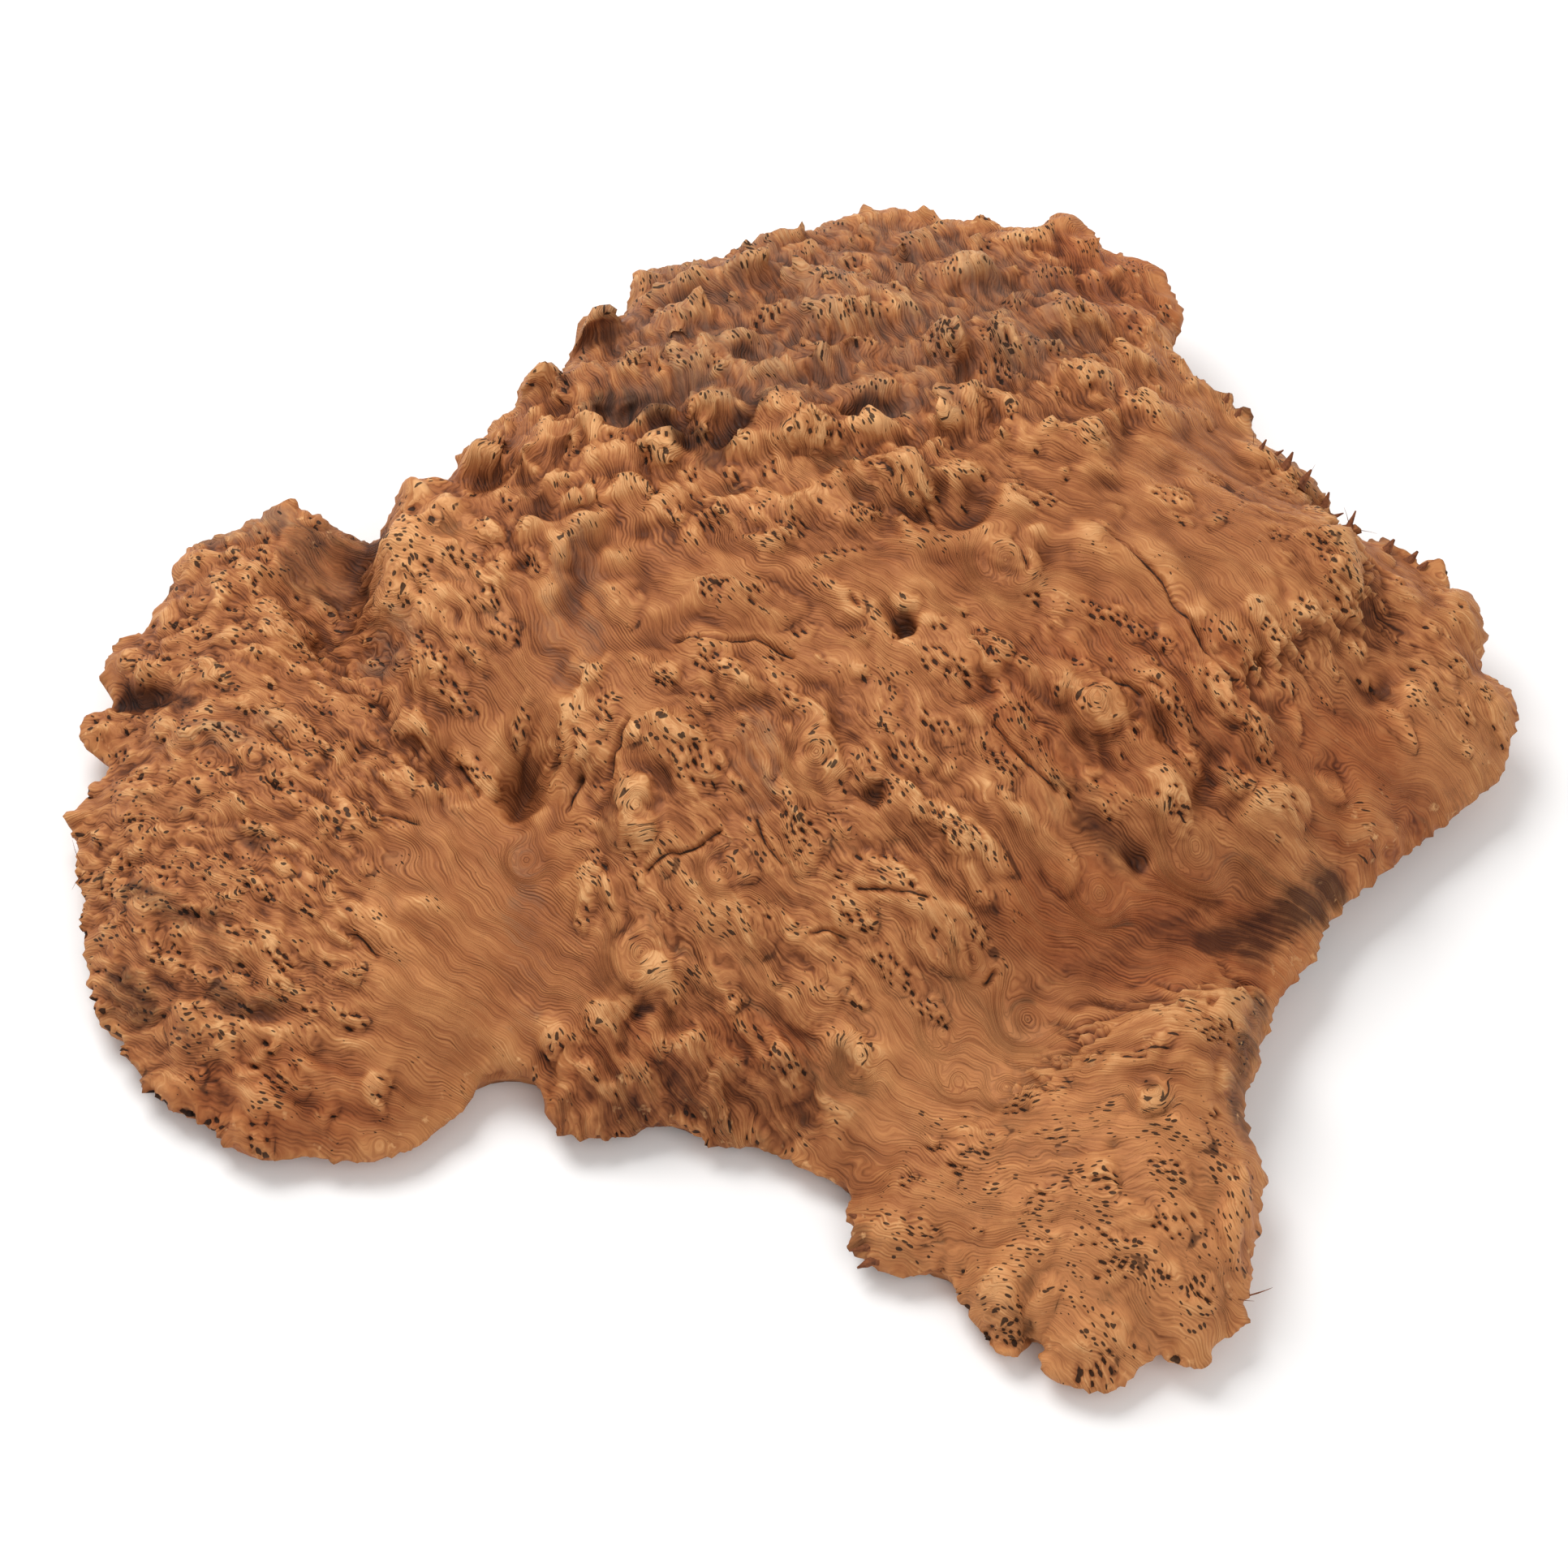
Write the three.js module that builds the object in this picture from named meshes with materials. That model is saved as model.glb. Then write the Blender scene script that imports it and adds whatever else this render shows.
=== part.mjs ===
// Burl cap: the knobbly outer growth of a burl, sawn off its trunk and cleaned of bark, in one piece of wood.
// Millimetres, +Z up. It lies on its flat sawn face, X runs across its widest stretch and -Y is its front.
import * as THREE from "three";

// Driving dimensions
const LATTICE_STEP = 7.7; // between surface points away from the rim
const RIM_STEP = 5.6; // between surface points along the rim
const RIM_CLEARANCE = 4.2; // from the rim to the nearest inner point
const LATTICE_JITTER = 0.16; // share of a step that an inner point strays
const SURVEY_ROUNDING = 9; // radius that softens the survey surface at its spot heights
const EDGE_LIFT = 6; // how far the live edge rolls up from the rim
const EDGE_ROLL = 11; // how far in from the rim that roll reaches
const KNOB_FADE = 9; // distance from the rim within which knobs die away
const SAWN_INSET = 4; // how far the sawn face lies inside a rim that touches it
const UNDERCUT = 0.6; // further inset for each millimetre that the rim stands above the sawn face
const UNDERCUT_LIMIT = 30; // rim height above which the side grows no further under
const INSET_STEPS = 32; // small steps that the inset is made in
const WALL_RINGS = 3; // rings of faces between rim and sawn face
const WALL_BULGE = 0.07; // outward swell of the side, as a share of its height
const WALL_ROUGHNESS = 0.09; // random swell of the side, as a share of its height
const SEED = 20417;

// Rim of the live edge, anticlockwise seen from above, each point [x, y, height above the sawn face]
const rimStretches = {
  finTip: [[-225, 156, 38]],
  leftLobeBack: [
    [-242, 144, 34], [-253, 141, 33], [-265, 137, 31], [-272, 127, 29], [-274, 113, 27], [-281, 104, 25],
    [-282, 93, 24], [-291, 93, 24], [-299, 82, 22], [-301, 73, 21],
  ],
  leftLobeKnobs: [
    [-295, 54, 21], [-304, 53, 20], [-308, 45, 19], [-305, 35, 19], [-294, 27, 19], [-293, 20, 19],
    [-301, 15, 18], [-302, 5, 18], [-309, -1, 17], [-303, -14, 17], [-304, -22, 16], [-303, -34, 16],
    [-296, -43, 16], [-299, -50, 16], [-298, -58, 15], [-292, -81, 15], [-289, -95, 14],
  ],
  leftLobeFront: [
    [-285, -105, 14], [-273, -113, 14], [-275, -119, 14], [-266, -126, 13], [-263, -136, 13], [-253, -144, 13],
    [-234, -155, 12], [-227, -162, 12], [-208, -169, 12], [-197, -166, 12], [-188, -167, 12], [-173, -169, 12],
    [-158, -165, 13], [-147, -161, 13], [-139, -152, 14], [-132, -148, 15],
  ],
  notch: [[-128, -140, 17], [-125, -133, 19], [-120, -130, 23], [-109, -130, 25], [-104, -132, 23]],
  front: [
    [-100, -138, 18], [-97, -148, 14], [-94, -154, 12], [-90, -158, 12], [-85, -157, 13], [-69, -159, 12],
    [-60, -155, 13], [-53, -151, 15], [-46, -151, 15], [-34, -158, 13], [-26, -162, 12], [-11, -161, 13],
    [-4, -166, 12], [3, -168, 13], [12, -175, 13], [23, -179, 13], [28, -184, 14],
  ],
  spur: [
    [24, -193, 12], [29, -201, 15], [24, -207, 12], [33, -215, 11], [43, -221, 11], [54, -220, 12], [62, -218, 14],
  ],
  toe: [
    [67, -222, 13], [70, -231, 13], [75, -241, 12], [81, -252, 11], [87, -256, 11], [93, -256, 12], [97, -248, 17],
    [104, -255, 15], [101, -261, 12], [105, -266, 11], [113, -270, 11], [129, -272, 11], [141, -263, 13],
    [149, -256, 17], [156, -263, 14], [166, -262, 15], [170, -256, 17], [179, -250, 17], [185, -243, 18],
    [182, -239, 20], [187, -230, 20],
  ],
  toeRight: [
    [187, -223, 21], [190, -204, 23], [194, -187, 25], [194, -179, 25], [189, -165, 27], [189, -147, 28],
    [194, -137, 28], [197, -122, 29], [206, -102, 28],
  ],
  flank: [[215, -88, 27], [222, -81, 26], [226, -69, 26], [234, -55, 26], [246, -44, 25], [268, -23, 24], [299, 4, 24]],
  shoulder: [
    [311, 15, 25], [315, 28, 28], [319, 40, 30], [319, 50, 32], [313, 58, 34], [305, 64, 36], [308, 81, 38],
    [306, 94, 40], [303, 102, 41], [293, 104, 41], [294, 113, 43], [290, 120, 44], [280, 116, 43], [280, 122, 44],
    [274, 123, 44], [271, 129, 45], [259, 128, 45],
  ],
  backRight: [
    [253, 132, 47], [255, 137, 49], [246, 136, 49], [243, 147, 52], [237, 153, 53], [236, 159, 55], [228, 163, 56],
    [218, 170, 58], [211, 178, 59], [211, 189, 61], [207, 193, 62], [202, 190, 61], [203, 198, 62], [195, 201, 62],
    [181, 220, 62], [177, 228, 61],
  ],
  backCorner: [
    [179, 239, 57], [184, 251, 54], [181, 271, 51], [177, 284, 50], [169, 291, 50], [158, 295, 50], [150, 298, 51],
    [146, 308, 51], [136, 317, 52], [126, 318, 53], [123, 312, 54], [115, 307, 55],
  ],
  back: [
    [103, 306, 56], [95, 312, 57], [83, 310, 58], [66, 313, 58], [49, 315, 59], [31, 308, 60], [17, 304, 60],
    [11, 298, 61], [0, 298, 61], [-14, 291, 62], [-32, 280, 63], [-48, 275, 64], [-68, 270, 66],
  ],
  crest: [
    [-71, 260, 67], [-71, 247, 68], [-74, 239, 70], [-86, 241, 73], [-93, 235, 73], [-95, 224, 72], [-96, 210, 71],
    [-108, 209, 74], [-115, 203, 74], [-118, 194, 72], [-119, 184, 69], [-131, 177, 69], [-133, 166, 67],
    [-144, 158, 68], [-145, 149, 66], [-155, 144, 67], [-163, 144, 67], [-170, 134, 64],
  ],
  pocket: [[-177, 139, 34], [-186, 138, 32]],
};

// Spot heights of the surface under its knobs, each point [x, y, height above the sawn face]
const spotHeights = {
  mainDome: [
    [12, 116, 114], [-37, 126, 108], [57, 140, 112], [99, 126, 108], [12, 190, 98], [-38, 201, 90], [78, 216, 90],
    [119, 240, 74], [149, 189, 82], [161, 139, 92], [13, 249, 80], [57, 264, 74], [99, 272, 66], [-31, 233, 82],
  ],
  rightShoulder: [
    [114, 68, 108], [168, 98, 98], [198, 77, 96], [236, 100, 84], [240, 72, 80], [203, 36, 88], [225, 26, 72],
  ],
  farRight: [[267, 91, 56], [279, 61, 54], [295, 82, 50], [299, 43, 44], [254, 24, 58], [275, 11, 46], [254, 67, 58]],
  rightFront: [[233, -20, 54], [251, -30, 44], [200, -40, 66], [215, -55, 46]],
  frontFace: [
    [-23, 63, 108], [28, 22, 106], [-56, 28, 98], [-22, -12, 96], [28, -49, 90], [78, -15, 100], [129, 7, 98],
    [163, -24, 84], [94, -63, 82], [128, -61, 72], [-73, -8, 90], [-62, -59, 76], [-22, -78, 74], [28, -94, 68],
    [71, -99, 64], [-62, -103, 52], [-22, -120, 48], [28, -128, 48], [-82, -125, 36], [-55, -142, 26],
    [-15, -148, 24], [18, -161, 26],
  ],
  valley: [[94, -128, 42], [128, -107, 46], [162, -88, 46], [197, -68, 40], [70, -151, 36], [211, -80, 34]],
  toe: [
    [109, -164, 44], [155, -139, 54], [183, -119, 46], [175, -151, 48], [140, -180, 52], [92, -190, 38],
    [54, -177, 28], [123, -222, 42], [165, -205, 44], [171, -231, 32], [91, -232, 28], [123, -252, 24],
    [47, -206, 20], [158, -252, 24],
  ],
  leftLobe: [
    [-227, -17, 56], [-259, 24, 46], [-275, -12, 36], [-271, -62, 32], [-241, -73, 48], [-206, -77, 54],
    [-238, -119, 34], [-204, -128, 36], [-171, -117, 42], [-173, -76, 52], [-186, -27, 58], [-196, 25, 56],
    [-222, 53, 54], [-250, 78, 44], [-268, 62, 36], [-210, -155, 22], [-161, -146, 26],
  ],
  fin: [[-222, 124, 42], [-204, 120, 36], [-192, 102, 36], [-238, 105, 44]],
  saddle: [[-138, -43, 52], [-123, -78, 44], [-116, -107, 33], [-142, -114, 38], [-103, -78, 44], [-107, -47, 52]],
  leftBulge: [
    [-156, 91, 84], [-170, 81, 74], [-139, 103, 86], [-119, 46, 86], [-140, 33, 74], [-99, 80, 98], [-115, 124, 88],
    [-95, 161, 88], [-74, 188, 84], [-90, 16, 86], [-64, 93, 104],
  ],
  leftCliff: [
    [-172, 95, 72], [-183, 92, 39], [-171, 112, 70], [-182, 116, 36], [-166, 68, 70], [-178, 65, 48],
    [-158, 52, 70], [-169, 46, 56],
  ],
  leftValley: [[-146, 7, 58], [-125, -10, 58], [-94, -23, 64]],
  crestInside: [[-124, 152, 76], [-144, 127, 78], [-100, 193, 78], [-79, 223, 76], [-165, 115, 76]],
};

// Knobs and hollows that mark this cap out, each [x, y, radius, rise, stretch, turn of the long axis in degrees]
const landmarks = {
  crest: [
    [-85, 226, 14, 20, 1, 0], [-107, 191, 14, 18, 1, 0], [-126, 174, 7, 9, 1, 0], [-134, 146, 13, 12, 1, 0],
    [-84, 145, 9, 16, 1, 0], [-65, 259, 9, 8, 1, 0], [-160, 123, 9, 9, 1, 0], [-150, 136, 8, 7, 1, 0],
    [-115, 132, 12, 9, 1, 0], [-97, 115, 10, 8, 1, 0], [-69, 125, 10, 9, 1, 0], [-50, 127, 11, 9, 1, 0],
  ],
  leftBulge: [
    [-161, 89, 20, 8, 1, 0], [-143, 109, 13, 7, 1, 0], [-148, 60, 14, 6, 1, 0], [-155, 40, 12, 6, 2, -60],
    [-106, 90, 10, 10, 1, 0], [-98, 57, 10, 6, 1, 0], [-87, 5, 12, 9, 2.2, 70], [-88, -19, 12, 8, 1, 0],
  ],
  upperDome: [
    [31, 220, 22, 12, 1.8, 10], [-29, 193, 16, 9, 1.5, 10], [12, 183, 12, 8, 1, 0], [7, 131, 20, 12, 1.7, 5],
    [77, 151, 15, 10, 1, 0], [99, 196, 18, 8, 1.6, 5], [72, 195, 9, 9, 1, 0], [-43, 245, 12, 7, 1, 0],
    [-13, 253, 14, 6, 1.4, 10], [-37, 141, 12, 8, 1, 0], [53, 94, 12, 8, 1.5, 35], [-6, 86, 14, 6, 1.6, 25],
    [29, 85, 12, 6, 1.5, 25],
  ],
  rightShoulder: [
    [134, 139, 14, 7, 1, 0], [94, 88, 15, 6, 1, 0], [94, 65, 13, 5, 1, 0], [214, 157, 18, 8, 1.4, -25],
    [229, 147, 13, 9, 1, 0], [241, 92, 12, 9, 1, 0], [242, 76, 12, 8, 1, 0], [236, 116, 12, 8, 1, 0],
    [175, 42, 9, 6, 1, 0], [186, 36, 9, 6, 1, 0], [200, 49, 10, 6, 1, 0], [126, -2, 20, 6, 1, 0],
    [157, 6, 12, 6, 1.4, -40], [181, 9, 13, 7, 1.6, -55], [196, -3, 12, 7, 1, 0], [159, -35, 13, 7, 1.3, -10],
    [200, -31, 16, 6, 1.7, 25], [303, 82, 13, 6, 1, 0], [293, 94, 10, 5, 1, 0], [311, 40, 12, 4, 1, 0],
    [269, 31, 10, 6, 1, 0],
  ],
  frontFace: [
    [-26, 50, 22, 6, 2.2, 20], [-71, 53, 9, 4, 1, 0], [-48, 11, 9, 5, 1, 0], [-32, 20, 12, 5, 1.5, 25],
    [-21, 6, 10, 5, 1.3, -25], [-47, -19, 18, 6.5, 1.5, -25], [-62, -40, 12, 6, 1.3, 75], [13, -21, 13, 5, 1, 0],
    [3, -50, 12, 5, 1.4, -55], [48, -49, 13, 6, 1.4, -20], [74, -62, 17, 6, 2, -35], [54, -91, 22, 5, 2.4, -25],
    [84, -77, 16, 5, 2, -25], [-25, -88, 18, 4, 1.6, -10], [-84, -67, 8, 5, 1, 0], [-75, -72, 8, 5, 1, 0],
  ],
  frontEdge: [
    [24, -136, 12, 6, 1, 0], [-35, -132, 10, 6, 1, 0], [-55, -129, 11, 5, 1, 0], [-88, -129, 9, 6, 1, 0],
    [-75, -149, 12, 6, 1, 0], [-92, -147, 8, 5, 1, 0], [-5, -137, 9, 6, 1, 0],
  ],
  toe: [
    [156, -133, 22, 7, 2.4, 30], [183, -120, 12, 8, 1.3, 45], [181, -204, 16, 8, 1.8, 75], [147, -166, 10, 4, 1, 0],
    [125, -196, 11, 5, 1, 0], [83, -235, 13, 5, 1, 0], [40, -212, 12, 5, 1.3, 0],
  ],
  leftLobe: [
    [-242, 144, 14, 8, 1.8, 20], [-263, 123, 13, 6, 1, 0], [-275, 90, 13, 6, 1, 0], [-292, 72, 10, 5, 1, 0],
    [-299, 43, 9, 4, 1, 0], [-225, 80, 11, 6, 1.4, -10], [-245, 95, 11, 6, 1, 0], [-166, -79, 9, 5, 2, -45],
    [-221, -155, 11, 5, 1, 0], [-166, -143, 9, 5, 1, 0], [-302, -3, 8, 4, 1, 0],
  ],
  hollows: [
    [-59, 156, 18, -10, 1.8, 10], [40, 139, 12, -8, 1.3, 0], [155, 158, 12, -5, 1, 0], [128, 3, 6, -6, 1, 0],
    [251, 35, 16, -8, 1, 0], [145, -60, 9, -7, 1, 0], [49, 31, 8, -14, 1, 0], [230, -10, 8, -4, 1, 0],
    [-108, -13, 15, -20, 1.8, 80], [-141, -7, 9, -10, 2.2, -65], [-73, -26, 7, -6, 3, 80], [36, -44, 7, -6, 1, 0],
    [-19, -146, 9, -11, 1, 0], [6, -156, 8, -7, 1, 0], [168, -210, 12, -4, 2, 75], [97, -236, 8, -6, 1, 0],
    [-274, 51, 10, -8, 2.2, 0], [-199, 68, 14, -5, 2, -50], [-128, 129, 12, -9, 1, 0], [-46, 31, 9, -3, 3, 5],
  ],
};

// Oval fields that smaller bud knobs are scattered over, spacing apart, drawn out along the grain at turn degrees
const budFields = {
  leftLobe: { at: [-225, -25], reach: [85, 130], spacing: 16, radius: 8, rise: 3.6, stretch: 2.2, turn: -25 },
  leftLobeBack: { at: [-248, 85], reach: [42, 42], spacing: 16, radius: 9, rise: 5, stretch: 1.5, turn: -15 },
  upperDome: { at: [20, 205], reach: [155, 105], spacing: 24, radius: 13, rise: 9, stretch: 1.5, turn: 12 },
  domeTop: { at: [20, 105], reach: [130, 50], spacing: 20, radius: 10, rise: 5.5, stretch: 1.6, turn: 25 },
  backCorner: { at: [150, 265], reach: [40, 60], spacing: 15, radius: 8, rise: 4, stretch: 1.2, turn: 0 },
  crest: { at: [-115, 140], reach: [65, 75], spacing: 18, radius: 9, rise: 8, stretch: 1.2, turn: 60 },
  frontFace: { at: [20, -30], reach: [130, 85], spacing: 20, radius: 9, rise: 2.6, stretch: 2.2, turn: -30 },
  frontEdge: { at: [-30, -138], reach: [75, 32], spacing: 17, radius: 9, rise: 6, stretch: 1.2, turn: 0 },
  rightShoulder: { at: [165, 15], reach: [85, 60], spacing: 24, radius: 10, rise: 3.2, stretch: 1.9, turn: -45 },
  toe: { at: [125, -195], reach: [72, 65], spacing: 22, radius: 10, rise: 2, stretch: 1.4, turn: -20 },
  farRight: { at: [285, 70], reach: [36, 62], spacing: 25, radius: 11, rise: 4, stretch: 1.3, turn: 45 },
};

// Repeatable draws between 0 and 1
function seededRandom(seed) {
  let state = seed;
  return () => {
    state = (state + 0x6d2b79f5) | 0;
    let mixed = Math.imul(state ^ (state >>> 15), 1 | state);
    mixed = (mixed + Math.imul(mixed ^ (mixed >>> 7), 61 | mixed)) ^ mixed;
    return ((mixed ^ (mixed >>> 14)) >>> 0) / 4294967296;
  };
}

const random = seededRandom(SEED);
const between = (low, high) => low + (high - low) * random();

// Gaussian elimination with pivoting, for the survey surface's weights
function solve(matrix, right) {
  const rows = matrix.map((row, i) => [...row, right[i]]);
  const size = rows.length;
  for (let column = 0; column < size; column++) {
    let pivot = column;
    for (let i = column + 1; i < size; i++) {
      if (Math.abs(rows[i][column]) > Math.abs(rows[pivot][column])) pivot = i;
    }
    [rows[column], rows[pivot]] = [rows[pivot], rows[column]];
    for (let i = column + 1; i < size; i++) {
      const factor = rows[i][column] / rows[column][column];
      for (let j = column; j <= size; j++) rows[i][j] -= factor * rows[column][j];
    }
  }
  const answer = new Array(size).fill(0);
  for (let i = size - 1; i >= 0; i--) {
    let sum = rows[i][size];
    for (let j = i + 1; j < size; j++) sum -= rows[i][j] * answer[j];
    answer[i] = sum / rows[i][i];
  }
  return answer;
}

// Smooth surface through every surveyed point, as a sum of rounded cones
function surveySurface(points) {
  const cone = (x, y, p) => Math.hypot(x - p[0], y - p[1], SURVEY_ROUNDING);
  const matrix = points.map((p) => [...points.map((q) => cone(p[0], p[1], q)), 1]);
  matrix.push([...points.map(() => 1), 0]);
  const weights = solve(matrix, [...points.map((p) => p[2]), 0]);
  const level = weights.pop();
  return (x, y) => points.reduce((height, p, i) => height + weights[i] * cone(x, y, p), level);
}

// Rise of one knob or hollow at a point, from its rim to a rounded top
function knobRise([kx, ky, radius, rise, stretch, turn], x, y) {
  const angle = THREE.MathUtils.degToRad(turn);
  const along = ((x - kx) * Math.cos(angle) + (y - ky) * Math.sin(angle)) / (radius * stretch);
  const across = ((y - ky) * Math.cos(angle) - (x - kx) * Math.sin(angle)) / radius;
  const share = 1 - along * along - across * across;
  return share > 0 ? rise * share * share : 0;
}

// Bud knobs of one field: random draws inside its oval, each at least a spacing from the ones before it
function scatterBuds({ at, reach, spacing, radius, rise, stretch, turn }) {
  const buds = [];
  const draws = Math.round((12 * reach[0] * reach[1]) / spacing ** 2);
  for (let i = 0; i < draws; i++) {
    const [u, v] = [between(-1, 1), between(-1, 1)];
    const [x, y] = [at[0] + u * reach[0], at[1] + v * reach[1]];
    const size = between(0.65, 1.4);
    const bud = [x, y, radius * size, rise * size * between(0.6, 1.3), stretch, turn + between(-20, 20)];
    const crowded = buds.some((b) => Math.hypot(b[0] - x, b[1] - y) < spacing);
    if (u * u + v * v < 1 && !crowded) buds.push(bud);
  }
  return buds;
}

const rimSurvey = Object.values(rimStretches).flat();
const ground = surveySurface([...rimSurvey, ...Object.values(spotHeights).flat()]);
const knobs = [...Object.values(landmarks).flat(), ...Object.values(budFields).flatMap(scatterBuds)];

// Rim as evenly spaced points on one closed curve
const rimCurve = new THREE.CatmullRomCurve3(rimSurvey.map((p) => new THREE.Vector3(...p)), true);
rimCurve.arcLengthDivisions = 20 * rimSurvey.length;
const rimCount = Math.round(rimCurve.getLength() / RIM_STEP);
const rim = rimCurve.getSpacedPoints(rimCount).slice(0, rimCount);
const rimLoop = (i) => (i + rimCount) % rimCount;

function rimDistance(x, y) {
  let nearest = Infinity;
  rim.forEach((a, i) => {
    const b = rim[rimLoop(i + 1)];
    const [dx, dy] = [b.x - a.x, b.y - a.y];
    const share = THREE.MathUtils.clamp(((x - a.x) * dx + (y - a.y) * dy) / (dx * dx + dy * dy), 0, 1);
    nearest = Math.min(nearest, Math.hypot(a.x + share * dx - x, a.y + share * dy - y));
  });
  return nearest;
}

function insideRim(x, y) {
  let inside = false;
  rim.forEach((a, i) => {
    const b = rim[rimLoop(i + 1)];
    const crosses = a.y > y !== b.y > y && x < a.x + ((y - a.y) / (b.y - a.y)) * (b.x - a.x);
    if (crosses) inside = !inside;
  });
  return inside;
}

function surfaceHeight(x, y) {
  const fromRim = rimDistance(x, y);
  const roll = EDGE_LIFT * (1 - Math.exp(-fromRim / EDGE_ROLL));
  const fade = THREE.MathUtils.smoothstep(fromRim, 0, KNOB_FADE);
  const knobbed = knobs.reduce((rise, knob) => rise + knobRise(knob, x, y), 0);
  return ground(x, y) + roll + fade * knobbed;
}

// Points of a jittered triangular lattice that lie well inside the rim
function latticePoints() {
  const bounds = new THREE.Box3().setFromPoints(rim);
  const rowStep = LATTICE_STEP * Math.sqrt(3 / 4);
  const stray = LATTICE_STEP * LATTICE_JITTER;
  const points = [];
  for (let row = 0; bounds.min.y + row * rowStep < bounds.max.y; row++) {
    const shift = (row % 2) * (LATTICE_STEP / 2);
    for (let x0 = bounds.min.x + shift; x0 < bounds.max.x; x0 += LATTICE_STEP) {
      const x = x0 + between(-stray, stray);
      const y = bounds.min.y + row * rowStep + between(-stray, stray);
      if (insideRim(x, y) && rimDistance(x, y) > RIM_CLEARANCE) points.push(new THREE.Vector3(x, y, 0));
    }
  }
  points.forEach((p) => p.setZ(surfaceHeight(p.x, p.y)));
  return points;
}

// Delaunay triangles over points seen from above, each three indices anticlockwise
function triangulate(points) {
  const far = 1e4;
  const all = [...points, { x: -far, y: -far }, { x: far, y: -far }, { x: 0, y: far }];
  const count = points.length;
  const withCircle = (i, j, k) => {
    const [a, b, c] = [all[i], all[j], all[k]];
    const [bx, by, cx, cy] = [b.x - a.x, b.y - a.y, c.x - a.x, c.y - a.y];
    const twiceArea = 2 * (bx * cy - by * cx);
    const [b2, c2] = [bx * bx + by * by, cx * cx + cy * cy];
    const [ux, uy] = [(cy * b2 - by * c2) / twiceArea, (bx * c2 - cx * b2) / twiceArea];
    return { corners: [i, j, k], x: a.x + ux, y: a.y + uy, radius2: ux * ux + uy * uy };
  };
  let triangles = [withCircle(count, count + 1, count + 2)];
  points.forEach((p, index) => {
    const hole = new Map();
    triangles = triangles.filter((t) => {
      if ((p.x - t.x) ** 2 + (p.y - t.y) ** 2 > t.radius2) return true;
      const [i, j, k] = t.corners;
      for (const [from, to] of [[i, j], [j, k], [k, i]]) {
        if (!hole.delete(`${to} ${from}`)) hole.set(`${from} ${to}`, [from, to]);
      }
      return false;
    });
    for (const [from, to] of hole.values()) triangles.push(withCircle(from, to, index));
  });
  return triangles.map((t) => t.corners).filter((corners) => corners.every((i) => i < count));
}

// Outline of the sawn face: the rim drawn in by its inset in small steps, each of which also smooths its teeth
function sawnOutline() {
  let outline = rim.map((p) => p.clone().setZ(0));
  for (let step = 0; step < INSET_STEPS; step++) {
    outline = outline.map((p, i) => {
      const [behind, ahead] = [outline[rimLoop(i - 1)], outline[rimLoop(i + 1)]];
      const inward = new THREE.Vector3(behind.y - ahead.y, ahead.x - behind.x, 0).normalize();
      const inset = SAWN_INSET + UNDERCUT * Math.min(rim[i].z, UNDERCUT_LIMIT);
      const softened = p.clone().multiplyScalar(2).add(behind).add(ahead).divideScalar(4);
      return softened.addScaledVector(inward, inset / INSET_STEPS);
    });
  }
  return outline;
}

// Rings of points down the side, from just under the rim to the sawn face
function sideRings(outline) {
  const rings = [];
  for (let ring = 1; ring < WALL_RINGS; ring++) {
    const share = ring / WALL_RINGS;
    rings.push(rim.map((p, i) => {
      const q = outline[i];
      const outward = new THREE.Vector3(rim[rimLoop(i + 2)].y - rim[rimLoop(i - 2)].y,
        rim[rimLoop(i - 2)].x - rim[rimLoop(i + 2)].x, 0).normalize();
      const swell = p.z * (WALL_BULGE + between(-WALL_ROUGHNESS, WALL_ROUGHNESS) / 2);
      return p.clone().lerp(q, share).addScaledVector(outward, swell * Math.sin(Math.PI * share));
    }));
  }
  return [...rings, outline];
}

// One closed skin: the knobbed top, the side below the rim and the flat sawn face
function burlGeometry() {
  const top = [...rim, ...latticePoints()];
  const outline = sawnOutline();
  const side = sideRings(outline);
  const points = [...top, ...side.flat()];

  const topFaces = triangulate(top).filter(([i, j, k]) => {
    const middle = top[i].clone().add(top[j]).add(top[k]).divideScalar(3);
    return insideRim(middle.x, middle.y);
  });
  const ringStart = (ring) => (ring === 0 ? 0 : top.length + (ring - 1) * rimCount);
  const sideFaces = [];
  for (let ring = 0; ring < WALL_RINGS; ring++) {
    for (let i = 0; i < rimCount; i++) {
      const [a, b] = [ringStart(ring) + i, ringStart(ring) + rimLoop(i + 1)];
      const [d, c] = [ringStart(ring + 1) + i, ringStart(ring + 1) + rimLoop(i + 1)];
      sideFaces.push([a, d, c], [a, c, b]);
    }
  }
  const lowest = ringStart(WALL_RINGS);
  const sawnFaces = THREE.ShapeUtils.triangulateShape(outline, []).map((f) => f.map((i) => lowest + i).reverse());

  const geometry = new THREE.BufferGeometry().setFromPoints(points);
  geometry.setIndex([...topFaces, ...sideFaces, ...sawnFaces].flat());
  geometry.computeBoundingBox();
  const middle = geometry.boundingBox.getCenter(new THREE.Vector3());
  geometry.translate(-middle.x, -middle.y, 0);
  geometry.computeVertexNormals();
  return geometry;
}

const burlWood = new THREE.MeshStandardMaterial({ color: 0xa06945, roughness: 0.72, metalness: 0 });
const burl = new THREE.Mesh(burlGeometry(), burlWood);
burl.name = "burl_cap";

const cap = new THREE.Group();
cap.add(burl);

export default cap;
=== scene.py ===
import math
import random

import bmesh
import bpy
import numpy as np
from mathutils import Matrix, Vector, kdtree, noise
from mathutils.bvhtree import BVHTree


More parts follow.
